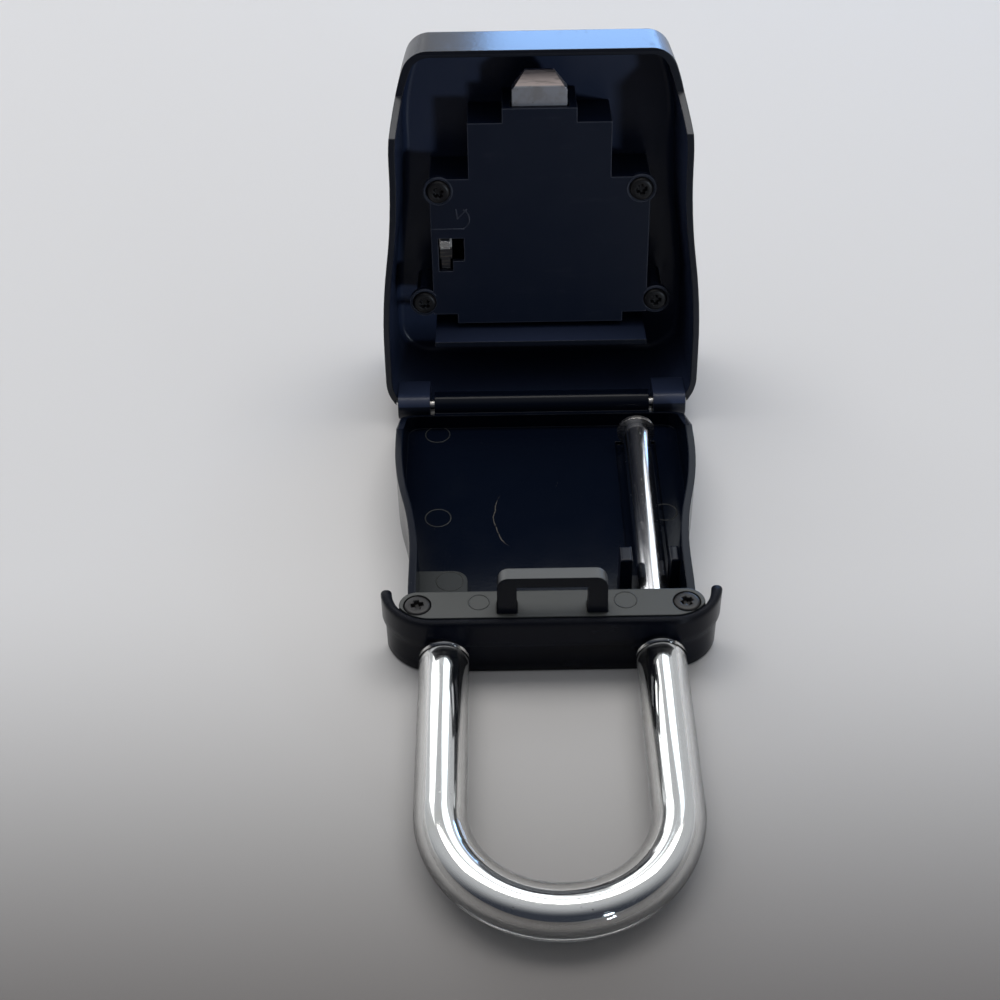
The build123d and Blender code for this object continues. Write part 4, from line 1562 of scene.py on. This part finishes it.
@dataclass(frozen=True)
class Stage:
    """The camera, the floor and the light."""

    eye: tuple[float, float, float] = (-9.93 * MM, -291.14 * MM, 269.8 * MM)
    pitch: float = radians(41.72)
    yaw: float = radians(-0.28)
    roll: float = radians(1.08)
    focal_pixels: float = 1592.7
    frame_pixels: float = 1000
    sensor_mm: float = 36
    floor_half: float = 6.0
    dim: Colour = (0.034, 0.039, 0.052)
    pale: Colour = (0.5, 0.51, 0.53)
    pale_slope: tuple[float, float] = (0.8, 0.6)
    pale_from: Band = (-0.4, 0.55)
    lamps: tuple[Lamp, ...] = (
        Lamp("horizon", (0.4, 1.15, 0.22), (0.9, 0.3), 3.7, (0.24, 0.5, 1.0)),
        Lamp("left_window", (-0.68, 1.2, 0.74), (1.24, 0.94), 4.6, (0.98, 0.99, 1.0)),
        Lamp("right_window", (0.4, 1.1, 1.08), (0.8, 0.66), 2.5, (0.85, 0.93, 1.0)),
        Lamp("skylight", (0, 0.56, 1.7), (2.2, 0.75), 17.5, (1.0, 0.98, 0.95)),
        Lamp("fill", (0.9, -1.6, 0.16), (0.18, 0.14), 6.5, (0.75, 0.87, 1.0)),
    )

    def camera(self) -> None:
        """The camera at the photograph's place."""
        data = bpy.data.cameras.new("camera")
        data.sensor_width = self.sensor_mm
        data.lens = self.focal_pixels / self.frame_pixels * self.sensor_mm
        data.clip_start = 0.01
        data.clip_end = 50
        level = Vector((sin(self.yaw), cos(self.yaw), 0))
        forward = level * cos(self.pitch) - Vector((0, 0, 1)) * sin(self.pitch)
        right = Vector((cos(self.yaw), -sin(self.yaw), 0))
        down = forward.cross(right)
        rolled_right = right * cos(self.roll) + down * sin(self.roll)
        rolled_down = down * cos(self.roll) - right * sin(self.roll)
        turn = Matrix((rolled_right, -rolled_down, -forward)).transposed()
        camera = bpy.data.objects.new("camera", data)
        camera.matrix_world = Matrix.Translation(self.eye) @ turn.to_4x4()
        bpy.context.scene.collection.objects.link(camera)
        bpy.context.scene.camera = camera

    def floor(self, shop: Modeller, material: bpy.types.Material) -> None:
        """The floor that the safe lies on.

        Args:
            shop: The tools that make it.
            material: Its material.
        """
        shop.clear()
        bpy.ops.mesh.primitive_plane_add(size=2 * self.floor_half, location=(0, 0, 0))
        floor = shop.named("floor")
        floor.data.materials.append(material)

    def world(self) -> None:
        """A surround that is dim in front and pale behind and above."""
        bench = Bench("surround", surround=True)
        _, y, z = bench.axes(bench.node("ShaderNodeTexCoord", output="Generated"))
        pale = (self.pale_slope[0] * y + self.pale_slope[1] * z).above(*self.pale_from)
        colour = bench.mix(pale, self.dim, self.pale)
        bpy.context.scene.world = bench.finish("ShaderNodeBackground", {"Color": colour})

    def light(self) -> None:
        """Hangs the lamps and sets the surround."""
        for lamp in self.lamps:
            lamp.hang()
        self.world()


def clear_start_file() -> None:
    """Removes what Blender's start file puts in a scene."""
    for name in ("Cube", "Light", "Camera"):
        found = bpy.data.objects.get(name)
        if found is not None:
            bpy.data.objects.remove(found)


def dress_nodes(finishes: dict[str, Finish], worn_by: dict[str, Sequence[str]]) -> None:
    """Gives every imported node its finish.

    Args:
        finishes: The finishes by key.
        worn_by: The nodes that wear each finish.
    """
    left = set(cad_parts)
    for key, names in worn_by.items():
        material = finishes[key].material()
        for name in names:
            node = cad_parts[name]
            node.data.materials.clear()
            node.data.materials.append(material)
            left.discard(name)
            LOG.info("node %s wears %s", name, material.name)
    if left:
        raise ValueError(f"no finish for {sorted(left)}")


def make_finishes(lid: LidPlace) -> dict[str, Finish]:
    """The safe's finishes by key.

    Args:
        lid: The open lid, for the patterns that lie along it.

    Returns:
        A finish for each key of WORN_BY.
    """
    return {
        "tray": TrayPaint("tray_paint", colour=(0.0024, 0.0046, 0.0115), roughness=0.16, specular=0.16),
        # This colour is the lid's inside colour, painted lighter than the outside as painted light on the
        # inner faces.
        "lid": LidPaint("lid_paint", colour=(0.03, 0.042, 0.085), specular=0.4, lid=lid),
        "hard_black": BlackPaint("black_paint"),
        # The loop's top face gets a painted highlight.
        "loop": BlackPaint(
            "loop_paint", colour=(0.0025, 0.0035, 0.007), film=(0.105, 0.11, 0.112), specular=0.24,
        ),
        "plate": BlackPaint("plate_paint", colour=(0.025, 0.028, 0.0265), roughness=0.48, specular=0.55),
        # The collar's edge colour and wide edge band paint a highlight band along its bead.
        "collar": BlackMoulding(
            "collar_plastic", edge_colour=(0.034, 0.037, 0.044), roughness=0.24, specular=0.12,
            edge_radius=2.6 * MM, worn_radius=0.9 * MM,
        ),
        # The cover's pale edge colour paints light highlight lines round its edges.
        "cover": BlackMoulding(
            "cover_plastic", colour=(0.0045, 0.0088, 0.024), edge_colour=(0.15, 0.16, 0.2),
            roughness=0.42, specular=0.28, worn_radius=0.6 * MM, flow_share=0.04,
        ),
        "shutter": BlackMoulding("shutter_plastic", colour=(0.006, 0.0085, 0.016)),
        "screws": BlackPaint("black_oxide", colour=(0.012, 0.011, 0.012), roughness=0.36, specular=0.34),
        "steel": Steel("plain_steel"),
        # The bolt's pale pinkish stretch over its bevel is a painted highlight.
        "bolt": LidSteel(
            "bolt_steel", colour=(0.5, 0.5, 0.53), stains=0.4, lid=lid,
            stretch=(82 * MM, 96 * MM), stretch_colour=(1.0, 0.84, 0.77),
        ),
        "lever": LidSteel(
            "lever_steel", colour=(0.85, 0.84, 0.82), roughness=0.25, stains=0.15, lid=lid,
            stretch=(33.5 * MM, 39.3 * MM), stretch_colour=(0.06, 0.06, 0.07),
        ),
        "bright": Steel("bright_steel", colour=(0.72, 0.7, 0.67), roughness=0.22, stains=0.1),
        "cam": Steel("cam_metal", colour=(0.6, 0.58, 0.54), roughness=0.42, stains=0.1),
        "chrome": Chrome("chrome"),
        "vinyl": ClearVinyl("clear_vinyl"),
        "dial": BlackMoulding("dial_plastic", colour=(0.011, 0.011, 0.012)),
    }


WORN_BY: dict[str, Sequence[str]] = {
    "tray": ("body_shell",),
    "lid": ("lid_shell",),
    "hard_black": ("open_slide", "shackle_guide"),
    "loop": ("catch_loop",),
    "plate": ("retainer_plate",),
    "collar": ("bumper_collar",),
    "cover": ("mechanism_cover",),
    "shutter": ("shutter",),
    "screws": ("retainer_screws", "cover_screws"),
    "steel": ("dial_axle", "detent_comb", "slide_screw"),
    "bolt": ("latch_bolt",),
    "lever": ("reset_lever",),
    "bright": ("hinge_pin", "retaining_ring"),
    "cam": ("cam_1", "cam_2", "cam_3", "cam_4"),
    "chrome": ("shackle",),
    "vinyl": ("shackle_sleeve",),
    "dial": ("dial_1", "dial_2", "dial_3", "dial_4"),
}


def main() -> None:
    """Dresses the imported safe, adds the finer pieces and sets the stage."""
    logging.basicConfig(level=logging.INFO, format="%(name)s: %(message)s")
    clear_start_file()
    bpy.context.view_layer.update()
    shop = Modeller()
    lid = LidPlace()
    finishes = make_finishes(lid)
    dress_nodes(finishes, WORN_BY)
    Shackle(shop).build(finishes["chrome"].material(), finishes["vinyl"].material())
    screws = Screws(shop, lid)
    screws.build(finishes["screws"].material())
    Marks(shop, lid).build(finishes["plate"].material(), finishes["cover"].material(), screws)
    DialFigures(shop, lid).build(FigurePaint("figure_paint").material())
    stage = Stage()
    stage.camera()
    stage.floor(shop, PaleFloor("pale_floor").material())
    stage.light()
    bpy.context.scene.view_settings.view_transform = "Standard"


if __name__ == "__main__":
    main()
